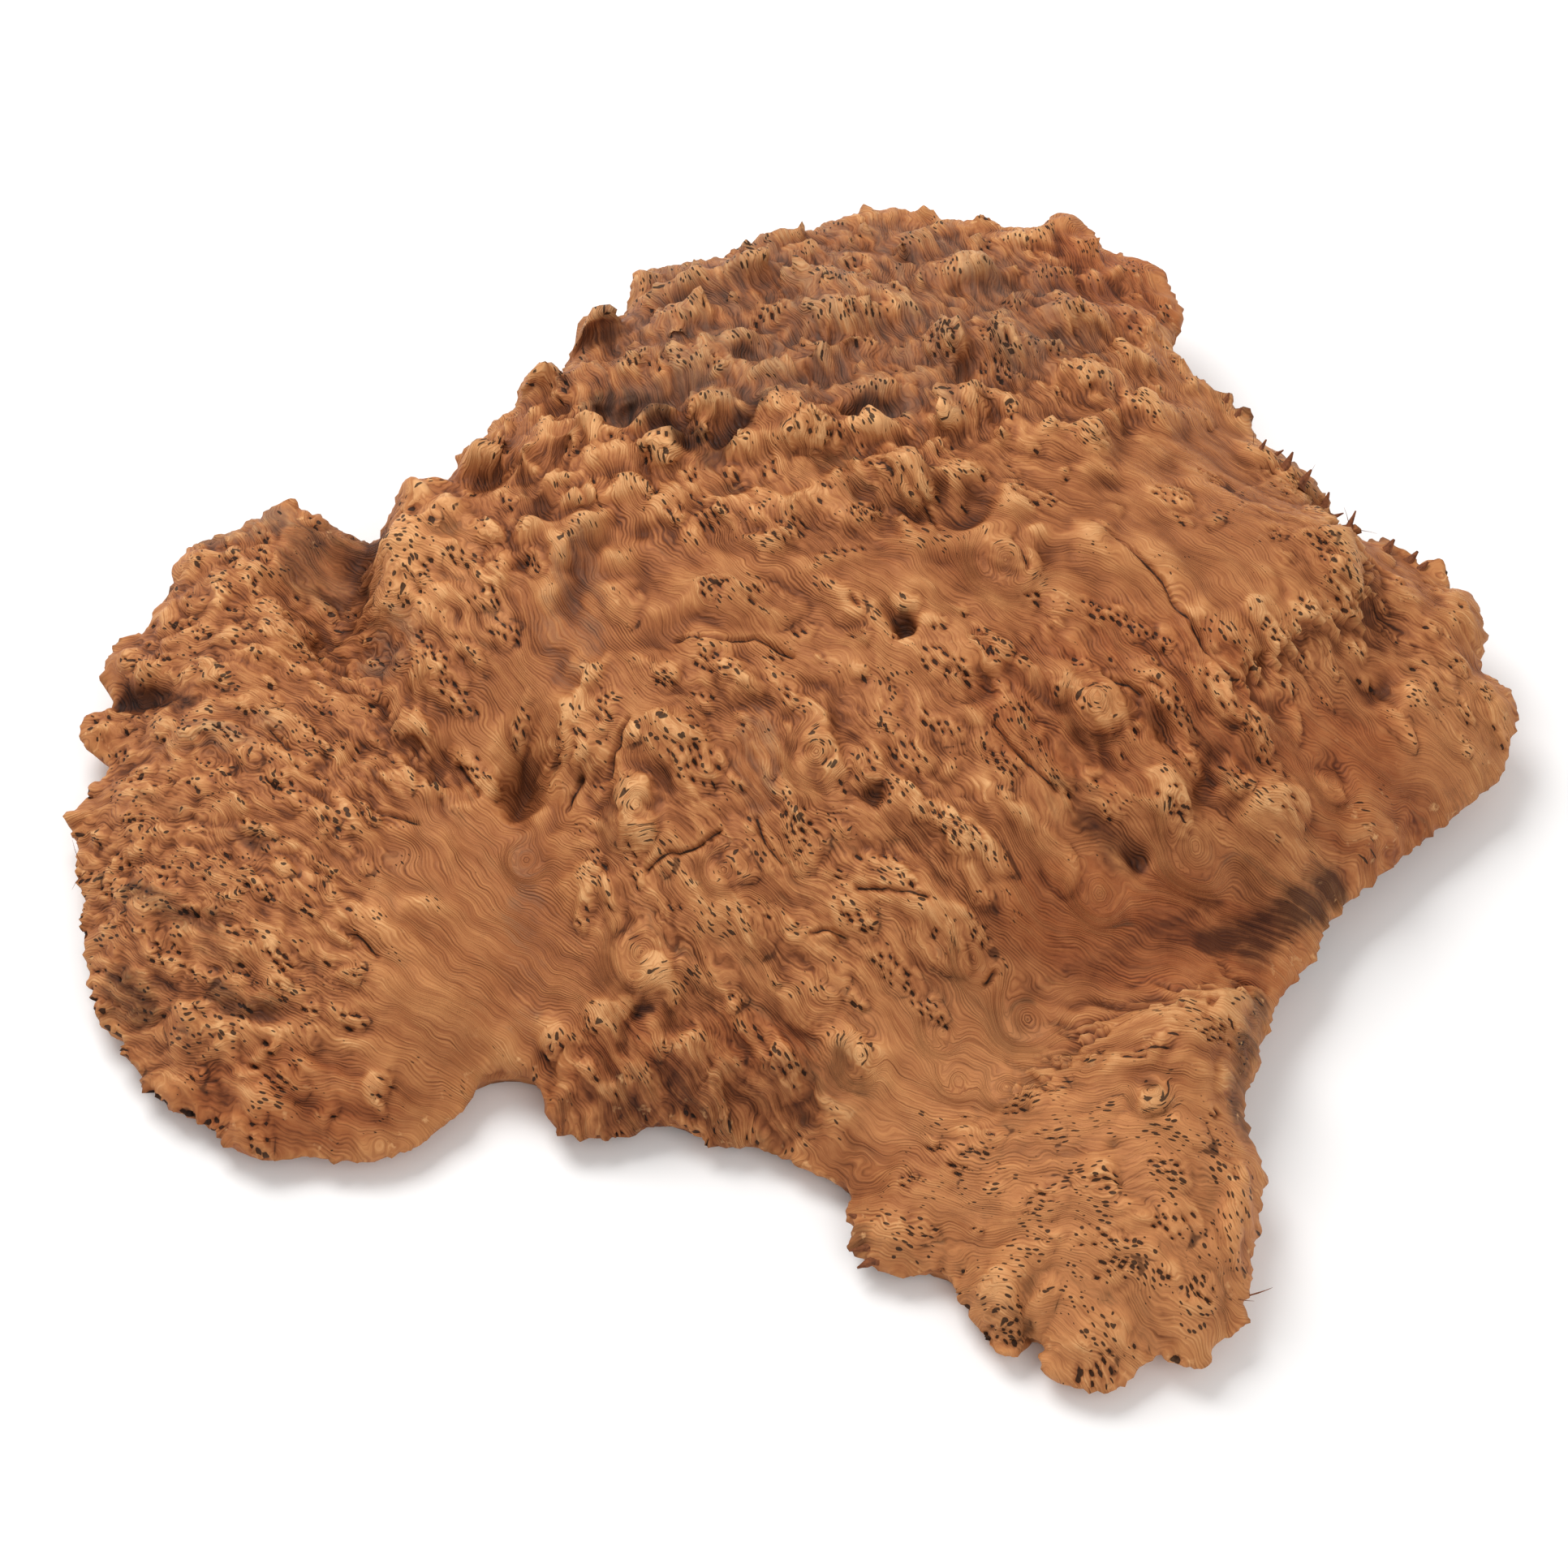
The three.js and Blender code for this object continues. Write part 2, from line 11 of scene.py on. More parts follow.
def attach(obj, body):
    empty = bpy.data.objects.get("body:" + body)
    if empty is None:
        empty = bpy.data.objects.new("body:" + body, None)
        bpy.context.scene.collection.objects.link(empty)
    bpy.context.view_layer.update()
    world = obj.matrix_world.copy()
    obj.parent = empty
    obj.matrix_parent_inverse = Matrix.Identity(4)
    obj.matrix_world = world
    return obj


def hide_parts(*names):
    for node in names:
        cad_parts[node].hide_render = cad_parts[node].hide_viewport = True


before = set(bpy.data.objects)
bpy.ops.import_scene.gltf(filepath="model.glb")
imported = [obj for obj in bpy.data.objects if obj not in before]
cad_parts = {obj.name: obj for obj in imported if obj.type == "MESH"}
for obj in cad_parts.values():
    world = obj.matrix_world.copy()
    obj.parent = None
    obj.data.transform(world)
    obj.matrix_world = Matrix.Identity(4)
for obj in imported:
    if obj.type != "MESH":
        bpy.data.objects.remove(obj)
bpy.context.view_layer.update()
mm = 0.001  # lengths below are in millimetres, meshes in metres
onFace = 0.01  # points this near the sawn face stay on it
print("frame loaded")


def addObject(name, data):
    thing = bpy.data.objects.new(name, data)
    bpy.context.scene.collection.objects.link(thing)
    return thing


# Camera: looks along +Y and down, as the photo does
photoView = {
    "target": (-5, -23, 40),
    "distance": 1700,
    "elevation": 55,
    "focalPixels": 4913,
    "imageWidth": 1932,
    "sensorWidth": 36,
}
viewTilt = math.radians(photoView["elevation"])
viewAhead = (0, math.cos(viewTilt), -math.sin(viewTilt))
viewUp = (0, math.sin(viewTilt), math.cos(viewTilt))
viewEye = Vector(photoView["target"]) - photoView["distance"] * Vector(viewAhead)


def addCamera():
    lens = bpy.data.cameras.new("photoCamera")
    lens.sensor_width = photoView["sensorWidth"]
    lens.lens = photoView["sensorWidth"] * photoView["focalPixels"] / photoView["imageWidth"]
    camera = addObject("photoCamera", lens)
    camera.location = viewEye * mm
    camera.rotation_euler = (math.pi / 2 - viewTilt, 0, 0)
    bpy.context.scene.camera = camera


addCamera()
print("camera placed")

# Marks read off the photo: places, half sizes and turns as seen there, in its pixels and degrees
grain = {
    "reach": 26,  # distance over which one direction gives way to the next
    "farPull": 1e-4,  # pull of the guides farther off
    "steepest": 2.5,  # most that a slope draws out the grain
    "fitPasses": 260,
    "softPasses": 12,
    "moundWarp": 1.5,  # how far the lines climb round a mound, per millimetre of its rise
    "knotWarp": 1.8,
    "knotEdge": 4,  # how suddenly the rings of a knot end
    "seen": {  # across, down, direction of the fibres
        "leftLobe": [
            (360, 670, -60), (260, 810, -30), (170, 960, -15), (210, 1080, -20), (310, 1040, -25),
            (390, 1130, -30), (230, 1230, -20), (330, 1330, -15), (470, 1350, -5), (120, 1150, -30),
        ],
        "saddle": [
            (500, 1060, -20), (520, 1200, 0), (555, 1270, -5), (590, 1080, -50), (640, 1130, -45),
            (625, 1240, -30), (665, 1200, 10), (560, 960, -55), (650, 1030, -60), (570, 1160, -15),
        ],
        "leftBulge": [
            (520, 680, -30), (600, 650, -50), (620, 860, -40), (560, 800, -50), (470, 860, -45),
        ],
        "leftValley": [(700, 720, -85), (680, 880, -85), (720, 800, -110), (740, 900, -110)],
        "upperDome": [
            (810, 370, -75), (990, 330, -65), (1160, 330, -80), (1300, 300, -75), (910, 470, -80),
            (780, 520, -80), (1110, 490, -80), (1280, 460, -70), (1380, 410, -60), (1010, 600, -65),
            (900, 620, -70), (680, 560, -75),
        ],
        "domeTop": [
            (800, 680, 10), (910, 740, 5), (1060, 720, 15), (1140, 650, -60), (1220, 690, 0),
            (1300, 640, -15), (1380, 620, -10), (800, 780, 5), (900, 790, 5),
        ],
        "right": [
            (1350, 710, -5), (1500, 670, -70), (1580, 680, -60), (1530, 780, -60), (1620, 840, -45),
            (1720, 780, -40), (1800, 750, -70), (1780, 900, -65), (1840, 900, -80), (1630, 700, -25),
        ],
        "rightFront": [(1720, 980, 40), (1650, 1070, 35), (1800, 1000, 50)],
        "rightFace": [
            (1330, 810, -45), (1250, 910, -50), (1400, 910, -45), (1500, 910, -50), (1550, 980, -20),
            (1180, 820, -30),
        ],
        "frontFace": [
            (840, 910, -60), (920, 960, -85), (1050, 870, -40), (1180, 930, -35), (1140, 1080, -28),
            (1020, 1130, -18), (890, 1150, -15), (820, 1060, -40), (770, 1180, -60), (1240, 1160, -50),
            (1180, 1240, -80), (970, 1240, -15), (870, 1280, -30), (720, 1320, -70), (1220, 1270, -85),
        ],
        "valley": [
            (1320, 1130, 20), (1320, 1200, 28), (1460, 1150, 28), (1580, 1140, 22), (1270, 1300, 25),
            (1380, 1250, 25), (1130, 1330, 0),
        ],
        "toe": [
            (1300, 1360, 20), (1460, 1320, 20), (1500, 1460, -75), (1300, 1510, -10), (1200, 1480, -25),
            (1130, 1520, -20), (1320, 1650, -60), (1460, 1590, -35), (1060, 1400, -20), (1400, 1420, -10),
        ],
    },
}

# Knots the grain closes round in rings: across, down, radius in millimetres
knots = [
    (1240, 690, 16), (1005, 930, 12), (782, 995, 11), (1472, 1044, 14), (1354, 1100, 10), (650, 1060, 9),
    (1265, 1255, 13), (1200, 1180, 8), (1160, 1270, 9), (790, 1178, 14), (890, 1074, 9), (1352, 862, 13),
    (1640, 965, 9), (1240, 1340, 9), (1180, 1330, 8), (1420, 1345, 8), (1060, 1305, 8),
]

# Bud mounds: across, down, half length, half width, turn, rise in millimetres
moundsSeen = {
    "face": [
        (1240, 690, 42, 36, 0, 1.6), (765, 745, 34, 22, 0, 1.6), (865, 730, 28, 14, 25, 1.5),
        (930, 745, 58, 24, 5, 2.2), (1030, 738, 42, 22, -40, 2.2), (738, 825, 26, 13, 60, 1.6),
        (816, 835, 26, 15, -10, 1.5), (880, 815, 42, 18, -10, 1.8), (860, 852, 26, 14, -40, 1.5),
        (920, 836, 26, 12, -20, 1.3), (965, 852, 26, 14, -45, 1.8), (745, 875, 28, 20, 70, 2.0),
        (716, 910, 30, 15, 60, 2.0), (838, 922, 62, 34, -35, 3.2), (782, 988, 46, 28, -75, 3.0),
        (1005, 930, 36, 28, 0, 3.0), (1066, 935, 34, 24, 80, 2.6), (985, 1020, 42, 28, -65, 2.8),
        (725, 1050, 26, 12, -50, 1.4), (720, 1106, 28, 11, 80, 1.8), (746, 1110, 30, 13, -65, 2.0),
        (890, 1074, 40, 20, 0, 2.0), (900, 1130, 62, 24, -15, 2.2), (790, 1178, 46, 36, 0, 2.6),
        (870, 1200, 42, 13, -20, 1.4), (1010, 1212, 42, 24, -20, 1.8), (1050, 1130, 38, 14, -25, 1.6),
        (1078, 1180, 46, 15, -30, 1.6), (960, 1300, 42, 20, -35, 1.8), (1040, 1292, 34, 20, -10, 2.0),
        (875, 1300, 44, 16, -15, 1.6),
    ],
    "rightFace": [
        (1160, 818, 54, 26, -28, 2.8), (1215, 790, 34, 20, -50, 2.6), (1085, 860, 26, 15, 0, 1.4),
        (1225, 930, 42, 18, -40, 2.2), (1292, 930, 52, 19, -45, 2.8), (1352, 862, 42, 32, 0, 3.2),
        (1440, 860, 46, 16, -35, 2.6), (1345, 752, 58, 16, -5, 2.0), (1385, 768, 40, 14, -15, 1.6),
        (1175, 1015, 74, 18, -25, 2.4), (1278, 1030, 62, 19, -40, 2.4), (1180, 1078, 54, 14, -20, 2.0),
        (1140, 1140, 58, 17, -35, 2.2), (1196, 1136, 36, 12, -30, 1.8), (1100, 1190, 46, 14, -25, 1.6),
        (1130, 1232, 40, 14, -30, 1.6), (1440, 985, 36, 20, -10, 2.2), (1460, 935, 40, 14, -25, 2.0),
        (1080, 1060, 44, 12, -10, 1.5), (1120, 930, 40, 22, -30, 1.8), (1150, 890, 40, 14, -25, 1.6),
    ],
    "shoulder": [
        (1505, 850, 46, 16, -40, 2.6), (1545, 890, 30, 16, -50, 2.6), (1585, 885, 22, 24, 0, 2.6),
        (1580, 985, 36, 22, 20, 2.6), (1520, 950, 30, 20, -50, 2.2), (1635, 965, 22, 20, 0, 1.6),
        (1715, 880, 46, 16, -50, 2.6), (1760, 830, 46, 18, -35, 2.4), (1565, 780, 26, 16, -30, 2.4),
        (1590, 755, 26, 14, -60, 2.2), (1610, 750, 24, 12, -45, 2.2), (1620, 665, 36, 14, 10, 2.2),
        (1640, 690, 44, 12, -20, 2.2), (1640, 720, 40, 12, -35, 2.2), (1480, 580, 40, 14, -30, 1.6),
        (1580, 610, 36, 20, 10, 1.6), (1435, 610, 40, 20, 0, 1.6), (1475, 515, 22, 20, 0, 1.4),
    ],
    "dome": [
        (870, 645, 34, 20, 20, 2.2), (950, 660, 46, 22, 15, 2.4), (1000, 622, 46, 16, 20, 2.2),
        (1070, 640, 36, 16, 10, 2.2), (1115, 652, 36, 18, -30, 2.2), (1025, 690, 50, 12, 10, 1.6),
        (1135, 618, 40, 20, -20, 2.8), (1270, 622, 58, 32, -5, 2.2), (1345, 540, 32, 34, 0, 2.4),
        (990, 570, 34, 18, 30, 2.4), (1080, 572, 36, 20, -20, 2.4), (1165, 562, 30, 24, -70, 2.4),
        (1000, 528, 66, 24, 5, 2.8), (735, 622, 44, 32, -30, 2.4), (810, 555, 46, 28, -30, 2.4),
        (1160, 432, 30, 34, -80, 2.4), (1240, 418, 52, 24, -5, 2.2), (1150, 490, 56, 20, -20, 2.2),
        (1250, 472, 44, 20, -20, 1.8), (1060, 382, 56, 22, 20, 2.6), (1050, 430, 40, 14, 20, 2.0),
        (960, 452, 60, 22, 20, 2.4), (890, 415, 40, 20, 25, 2.2), (830, 440, 50, 26, 10, 2.2),
        (955, 388, 44, 22, 15, 2.2),
    ],
    "leftBulge": [
        (530, 800, 46, 14, -40, 2.4), (545, 835, 52, 14, -45, 2.4), (580, 650, 54, 18, -30, 2.6),
        (560, 680, 40, 14, -15, 1.8), (585, 735, 40, 14, -25, 1.8), (490, 735, 34, 16, -15, 1.8),
        (520, 705, 30, 16, 0, 2.0), (610, 770, 34, 14, -35, 1.6), (575, 800, 40, 12, -45, 1.8),
        (655, 690, 26, 12, -60, 2.2), (685, 670, 30, 14, -60, 2.6), (645, 880, 30, 14, 70, 1.8),
        (690, 900, 34, 12, 80, 1.8), (590, 950, 34, 12, -50, 1.8),
    ],
    "lobe": [
        (466, 1339, 18, 18, 0, 2.0), (307, 1394, 36, 20, -20, 2.6), (398, 1369, 16, 14, 0, 1.8),
        (375, 1239, 16, 10, -20, 1.6), (340, 1180, 34, 12, -20, 1.8), (200, 1175, 40, 18, -40, 2.2),
        (180, 1040, 40, 14, 5, 1.8), (260, 1020, 36, 16, -20, 1.8),
    ],
    "toe": [
        (1200, 1420, 50, 16, 25, 1.4), (1250, 1365, 36, 12, 20, 1.4), (1270, 1485, 40, 20, 10, 1.4),
        (1420, 1345, 26, 22, 80, 2.2), (1355, 1450, 26, 20, 0, 1.8), (1365, 1478, 60, 16, -25, 1.4),
        (1425, 1430, 44, 18, -25, 1.6), (1455, 1395, 40, 16, -10, 1.4), (1500, 1270, 50, 16, 30, 1.8),
        (1400, 1300, 60, 12, 18, 1.6), (1515, 1320, 36, 14, 60, 1.8), (1525, 1480, 56, 18, 78, 3.0),
        (1255, 1550, 40, 14, -10, 1.4), (1235, 1590, 40, 26, -70, 2.4), (1265, 1610, 30, 20, 0, 2.0),
        (1350, 1565, 50, 14, 0, 1.2), (1340, 1640, 50, 26, 0, 1.8), (1385, 1665, 40, 20, -20, 1.6),
        (1330, 1690, 40, 16, 0, 1.6), (1480, 1590, 34, 20, 20, 1.8), (1435, 1570, 24, 16, 20, 1.6),
        (1420, 1500, 50, 14, -20, 1.2), (1370, 1530, 60, 12, -5, 1.2), (1340, 1385, 50, 14, 25, 1.3),
    ],
}

# Smaller mounds scattered along the grain. Each oval in millimetres: centre, half axes, spacing, size, rise
moundFields = {
    "seed": 4,
    "peak": 0.4,  # how far toward the nose the top of a mound stands
    "noseTurn": 35,  # a mound seen steeper than this points its nose to the front
    "cones": ("dome", "upperDome", "crest"),  # groups of cones that stand with their tips to the back
    "coneRise": 2.2,
    "coneEdge": 1.3,
    "coneLean": (0.8, 0.9, 1.7),  # most that a cone leans, in radians, and how that swings with x and y
    "footDepth": 0.7,
    "footWidth": 1.3,
    "footReach": 6,
    "search": (1.5, 2),  # share of a mound's size, and margin, in which it counts
    "strays": ((4.5, 15), (1.3, 5)),  # how far the outlines stray, over what size
    "fingers": (4.6, 24),  # width and length of the folds that split a mound
    "fingerRise": (0.6, 1.4),  # share of the rise between them, and what they add
    "folds": (7, 26),  # the same for a cone
    "foldRise": (0.5, 1.7),
    "tries": 2.2,  # places tried for each that the oval would hold
    "growth": (0.7, 1.3),
    "turnSpread": 0.3,
    "riseSpread": (0.6, 1.3),
    "margin": 3,
    "plainest": 0.4,  # share of plain wood past which none grow
    "fields": {
        "leftLobe": ((-235, -40), (85, 140), 11, (8.5, 3.8), 1.7),
        "leftLobeBack": ((-240, 85), (55, 60), 11, (7, 4), 1.9),
        "leftBulge": ((-150, 55), (34, 50), 12, (7, 3.8), 1.6),
        "upperDome": ((25, 190), (160, 105), 15, (6.6, 6), 2.6),
        "domeTop": ((5, 90), (110, 36), 13, (6, 4.5), 1.6),
        "crest": ((-108, 140), (48, 70), 16, (9, 6), 2.4),
        "face": ((15, -65), (125, 90), 11.5, (6, 3.2), 1.3),
        "frontEdge": ((-40, -160), (75, 32), 11, (6, 4.6), 2.0),
        "rightFace": ((165, 5), (80, 75), 13, (6, 3.6), 1.4),
        "farRight": ((280, 55), (38, 62), 15, (7, 4.5), 1.5),
        "toe": ((110, -230), (72, 66), 12, (6, 3.6), 1.0),
    },
}

# Pinholes: bud eyes that are real pits, crowded on the mounds
pinholes = {
    "seed": 71,
    "roomEach": 30,  # square millimetres of mound for one hole
    "most": 14,
    "shares": (-0.35, 1.7),  # how full a mound is; below zero it has none
    "keepOff": 4,  # from the middle of a ringed knot
    "spacing": 2.6,
    "tries": 4,
    "cluster": 0.6,  # share of the mound that its holes crowd into
    "offsets": (-0.3, 0.3),
    "toNose": 0.2,
    "toTip": 0.4,
    "halfWidth": (0.4, 0.75),
    "stretch": (1.8, 3.8),
    "depth": (1.0, 1.8),
    "refineWithin": 1.8,
    "search": 1.4,
}

# Larger eyes that rot has opened: across, down, radius and depth in millimetres
eyes = {
    "darkDepth": 4,  # an eye this deep is quite dark
    "seen": [
        (1115, 778, 3.4, 4), (1075, 978, 4, 1.8), (1418, 1338, 2.6, 3), (713, 963, 2.4, 3),
        (1372, 1408, 2.5, 2), (1035, 1292, 5, 2), (1268, 1585, 4, 1.5), (1266, 1640, 3, 2.5),
        (1002, 955, 4, 0.8), (652, 965, 7, 1.2), (1240, 695, 3, 0.8), (1265, 1365, 2.5, 1.5),
    ],
}

# Relief finer than the solid's own knobs. Each oval: centre, half axes and how strong the relief is there
relief = {
    "cuts": 3,  # new points on each edge of the knobbed top
    "sideCuts": 1,
    "roundingPasses": 7,
    "roundingShares": (0.55, -0.57),
    "floorGap": 0.4,  # least height of what isn't the sawn face
    "rises": {"mound": (9, 3), "ridge": (3.2, 0.9)},  # radius of what the colours follow, and its full rise; the tone follows it partly as painted shade in hollows and painted highlight on tops
    "facing": 3,  # how soon the skin counts as top as it turns up
    "rimStart": 0.5,
    "rimPasses": 36,  # how far the darker wood of the edge spreads inward
    "waves": (15, 55),  # width and length of the low waves in the plainer wood
    "waveDepth": 2.2,
    "plainWaves": 0.4,
    "lumps": 19,
    "lumpShare": 1.3,
    "strayAcross": (5, 14),  # how far the grain strays, over what size
    "strayAlong": (34, 32),
    "flutes": ((7.5, 26, 1.4), (4.2, 15, 1.0)),  # width, length, depth
    "billow": (2.2, 0.5),
    "edgeTurn": 0.4,
    "edgeCalm": 0.6,
    "edgeDepth": 3.0,
    "edgeLump": 5.5,
    "edgeBillow": (1.6, 0.25),
    "barkRise": 0.3,
    "plainDepth": 0.2,
    "flutedOvals": {
        "leftLobe": ((-232, -45), (92, 135), 1.0),
        "leftLobeBack": ((-238, 75), (55, 60), 0.9),
        "leftBulge": ((-150, 50), (38, 55), 1.0),
        "crest": ((-108, 150), (50, 75), 0.8),
        "upperDome": ((25, 190), (165, 110), 0.95),
        "domeTop": ((0, 85), (95, 40), 0.8),
        "ridge": ((222, 85), (26, 70), 0.6),
        "farRight": ((285, 50), (40, 65), 0.5),
        "rightFace": ((140, -25), (85, 55), 0.6),
        "frontFace": ((-5, -80), (100, 78), 0.75),
        "frontEdge": ((-40, -165), (75, 30), 0.9),
        "toe": ((110, -235), (70, 60), 0.4),
    },
    "porousOvals": {
        "toe": ((112, -235), (75, 65), 1.0),
        "leftLobe": ((-235, -45), (85, 130), 0.8),
        "leftBulge": ((-150, 50), (38, 55), 0.3),
        "frontFace": ((0, -75), (105, 80), 0.75),
        "domeTop": ((0, 60), (100, 50), 0.5),
        "upperDome": ((25, 190), (160, 105), 0.35),
        "rightFace": ((165, 5), (80, 75), 0.5),
    },
    "unrowedOvals": {  # lumps instead of waves along the grain
        "upperDome": ((25, 190), (170, 115), 0.9),
        "crest": ((-108, 140), (55, 80), 0.7),
    },
    "plainOvals": {
        "saddle": ((-132, -95), (42, 75), 1.0),
        "bulgeFoot": ((-128, -25), (26, 32), 0.9),
        "leftValley": ((-85, 52), (24, 26), 0.7),
        "swirl": ((125, 45), (55, 26), 0.85),
        "shoulder": ((175, 40), (32, 30), 0.8),
        "valley": ((150, -105), (85, 30), 1.0),
        "valleyMouth": ((70, -155), (40, 26), 0.9),
        "shadedFinSide": ((-208, 98), (20, 26), 0.9),
        "rightFront": ((250, -35), (50, 40), 0.6),
    },
}

# Cracks, each a line of (across, down) places in the photo
cracks = {
    "depth": 2.4,
    "halfWidth": 0.45,
    "furrow": 1.1,
    "stray": 0.8,
    "straySize": 5,
    "farthest": 9,  # gaps past this all count as far
    "refineWithin": 2.2,
    "lines": {
        "shoulder": [
            (1346, 640), (1377, 663), (1405, 686), (1433, 717), (1446, 742), (1469, 768), (1484, 798),
            (1507, 824), (1535, 842),
        ],
        "faceTop": [(834, 789), (884, 787), (930, 785), (976, 805)],
        "faceLeft": [(796, 1072), (819, 1055), (853, 1046), (888, 1023)],
        "faceMiddle": [(930, 1007), (945, 1042), (964, 1065)],
        "faceLow": [(1056, 1093), (1094, 1095), (1125, 1099), (1144, 1105)],
        "rightFace": [(1224, 889), (1243, 915), (1274, 946), (1300, 973)],
        "knotTail": [(713, 963), (706, 980), (700, 998)],
        "bulgeCrease": [(772, 884), (754, 937), (752, 958)],
        "bulgeSeam": [(566, 945), (578, 962), (588, 980)],
        "scallop": [(1160, 650), (1140, 625)],
        "knotArc": [(1250, 664), (1262, 680), (1266, 700)],
        "domeLine": [(1085, 568), (1096, 580), (1099, 588)],
        "rightLines": [(1362, 832), (1390, 842), (1405, 856)],
        "rightLow": [(1415, 838), (1432, 846)],
        "slope": [(1050, 735), (1056, 745)],
        "faceLowest": [(1000, 1150), (1022, 1146), (1042, 1156)],
        "mouth": [(1214, 1212), (1226, 1200)],
        "lobeScar": [(439, 1153), (453, 1165), (466, 1178)],
        "lobeSlit": [(466, 1000), (490, 1006), (516, 1014)],
        "lobeBack": [(330, 898), (344, 910), (357, 923)],
    },
}

# Soft hollows and, where the depth is below zero, pegs between the knobs:
# across, down, half length, half width, turn, depth in millimetres
hollows = {
    "dome": [
        (775, 508, 40, 14, -15, 4), (835, 520, 30, 14, -10, 4), (893, 535, 30, 16, 60, 4),
        (1000, 500, 44, 12, 10, 3), (1055, 510, 26, 16, 30, 4.5), (880, 415, 10, 16, 0, 4),
        (997, 430, 14, 28, 20, 4.5), (922, 488, 18, 12, -30, 4), (853, 547, 10, 10, 0, 3.5),
        (795, 577, 10, 18, 20, 4), (1104, 507, 20, 14, 20, 3.5), (1193, 450, 32, 13, 75, 4.5),
        (1222, 488, 14, 18, 20, 4.5), (1179, 356, 12, 9, 0, 4), (1254, 348, 10, 10, 0, 4),
        (1233, 384, 22, 10, 10, 3.5), (1172, 373, 16, 9, -10, 3), (1076, 366, 18, 9, 0, 3),
        (1390, 522, 14, 26, 0, 3.5), (1447, 573, 24, 18, 40, 3), (1147, 566, 9, 16, 10, 4),
        (1122, 547, 14, 9, -20, 3.5), (1061, 606, 18, 12, 0, 3), (1161, 606, 9, 14, 0, 3),
        (1211, 606, 16, 12, 20, 3), (1368, 595, 20, 9, -10, 2), (1283, 370, 14, 8, 10, 3),
        (1054, 320, 14, 8, 0, 3), (1111, 320, 12, 8, 0, 3), (900, 600, 40, 10, 10, 3),
    ],
    "crest": [
        (659, 614, 34, 20, -60, 5), (630, 565, 26, 14, -60, 4), (709, 537, 20, 20, 0, 4.5),
        (690, 504, 14, 12, 0, 4), (631, 524, 13, 9, 80, -3.5), (613, 538, 11, 8, 80, -3),
        (730, 545, 22, 13, 80, -3.5), (737, 507, 14, 10, -20, 4), (640, 695, 14, 10, 0, 3.5),
        (709, 734, 36, 14, 80, 3), (793, 655, 12, 10, 0, 3),
    ],
    "right": [
        (1211, 790, 20, 6, -60, 3), (1214, 842, 18, 14, -50, 3), (1241, 828, 12, 12, 0, 2.5),
        (1355, 942, 28, 22, -60, 3.5), (1327, 996, 34, 16, -50, 3), (1392, 1070, 18, 16, 0, -2.2),
        (1436, 896, 20, 10, -60, 3), (1495, 951, 30, 10, 60, 3.5), (1536, 869, 14, 10, -50, 3),
        (1575, 880, 14, 18, 0, 3.5), (1523, 990, 20, 10, 20, 3), (1555, 808, 12, 12, 0, 3),
        (1662, 868, 40, 28, -10, 2.8), (1685, 836, 16, 14, 0, -2.5),
    ],
    "face": [
        (650, 940, 24, 42, 80, -3), (1195, 640, 30, 12, 30, 3), (1292, 702, 14, 30, 0, 2),
        (1190, 725, 26, 12, -20, 2),
    ],
    "lobe": [
        (235, 916, 30, 14, -10, 3), (357, 1003, 18, 12, 0, 2), (235, 1130, 44, 10, -15, 2.5),
        (294, 1239, 36, 9, -10, 2.5),
    ],
}

# Two lines that serve twice
bulgeFoot = [(400, 800), (450, 845), (490, 890), (525, 935), (560, 985)]
underKnob = [(150, 862), (190, 858), (230, 866)]

# Lips, each over a steep drop on the right of its line: rise and its reach, drop and its reach, places
lips = {
    "fray": 22,
    "frayMiddle": 0.2,
    "brink": 1.6,
    "endFade": 9,
    "lines": {
        "curtain": (2.6, 16, 3.4, 10, [
            (1520, 830), (1548, 815), (1575, 800), (1600, 778), (1622, 762), (1650, 755), (1672, 738),
            (1676, 700), (1668, 668), (1636, 646), (1602, 620), (1572, 592),
        ]),
        "toeTop": (2.2, 14, 3.4, 9, [
            (1548, 1226), (1500, 1230), (1460, 1235), (1405, 1250), (1345, 1280), (1305, 1320),
            (1262, 1345),
        ]),
        "bulgeFoot": (2.4, 14, 1.5, 8, bulgeFoot),
    },
}

# Knobs of the edge that stand against the floor:
# across and down of the top, fall to each side, half width, and push of the left side in millimetres
knobTops = {
    "softPasses": 10,
    "sideEnd": 2.2,
    "sideFall": 2,
    "flank": 1 / 3,
    "seen": {
        "upper": (738, 386, 0.02, 36, 6),
        "lower": (680, 453, 0.021, 42, 2),
        "small": (788, 336, 0.03, 14, 0),
    },
}

# Soft grooves: half width, depth, and places along the line in the photo
grooves = {
    "bulgeFoot": (5, 2.5, bulgeFoot),
    "underKnob": (6, 3, underKnob),
    "rightFold": (6, 3, [(1285, 905), (1320, 960), (1360, 1015), (1395, 1055)]),
    "shoulderFold": (7, 3, [(1440, 905), (1470, 940), (1490, 985)]),
    "shoulderRow": (6, 2.5, [(1500, 925), (1550, 945), (1600, 950)]),
    "faceFold": (5, 2, [(960, 800), (1010, 850), (1045, 900)]),
    "faceRow": (5, 2, [(900, 1000), (960, 985), (1030, 1000), (1080, 1045)]),
    "kneeFold": (5, 2, [(700, 840), (690, 900), (700, 960)]),
}
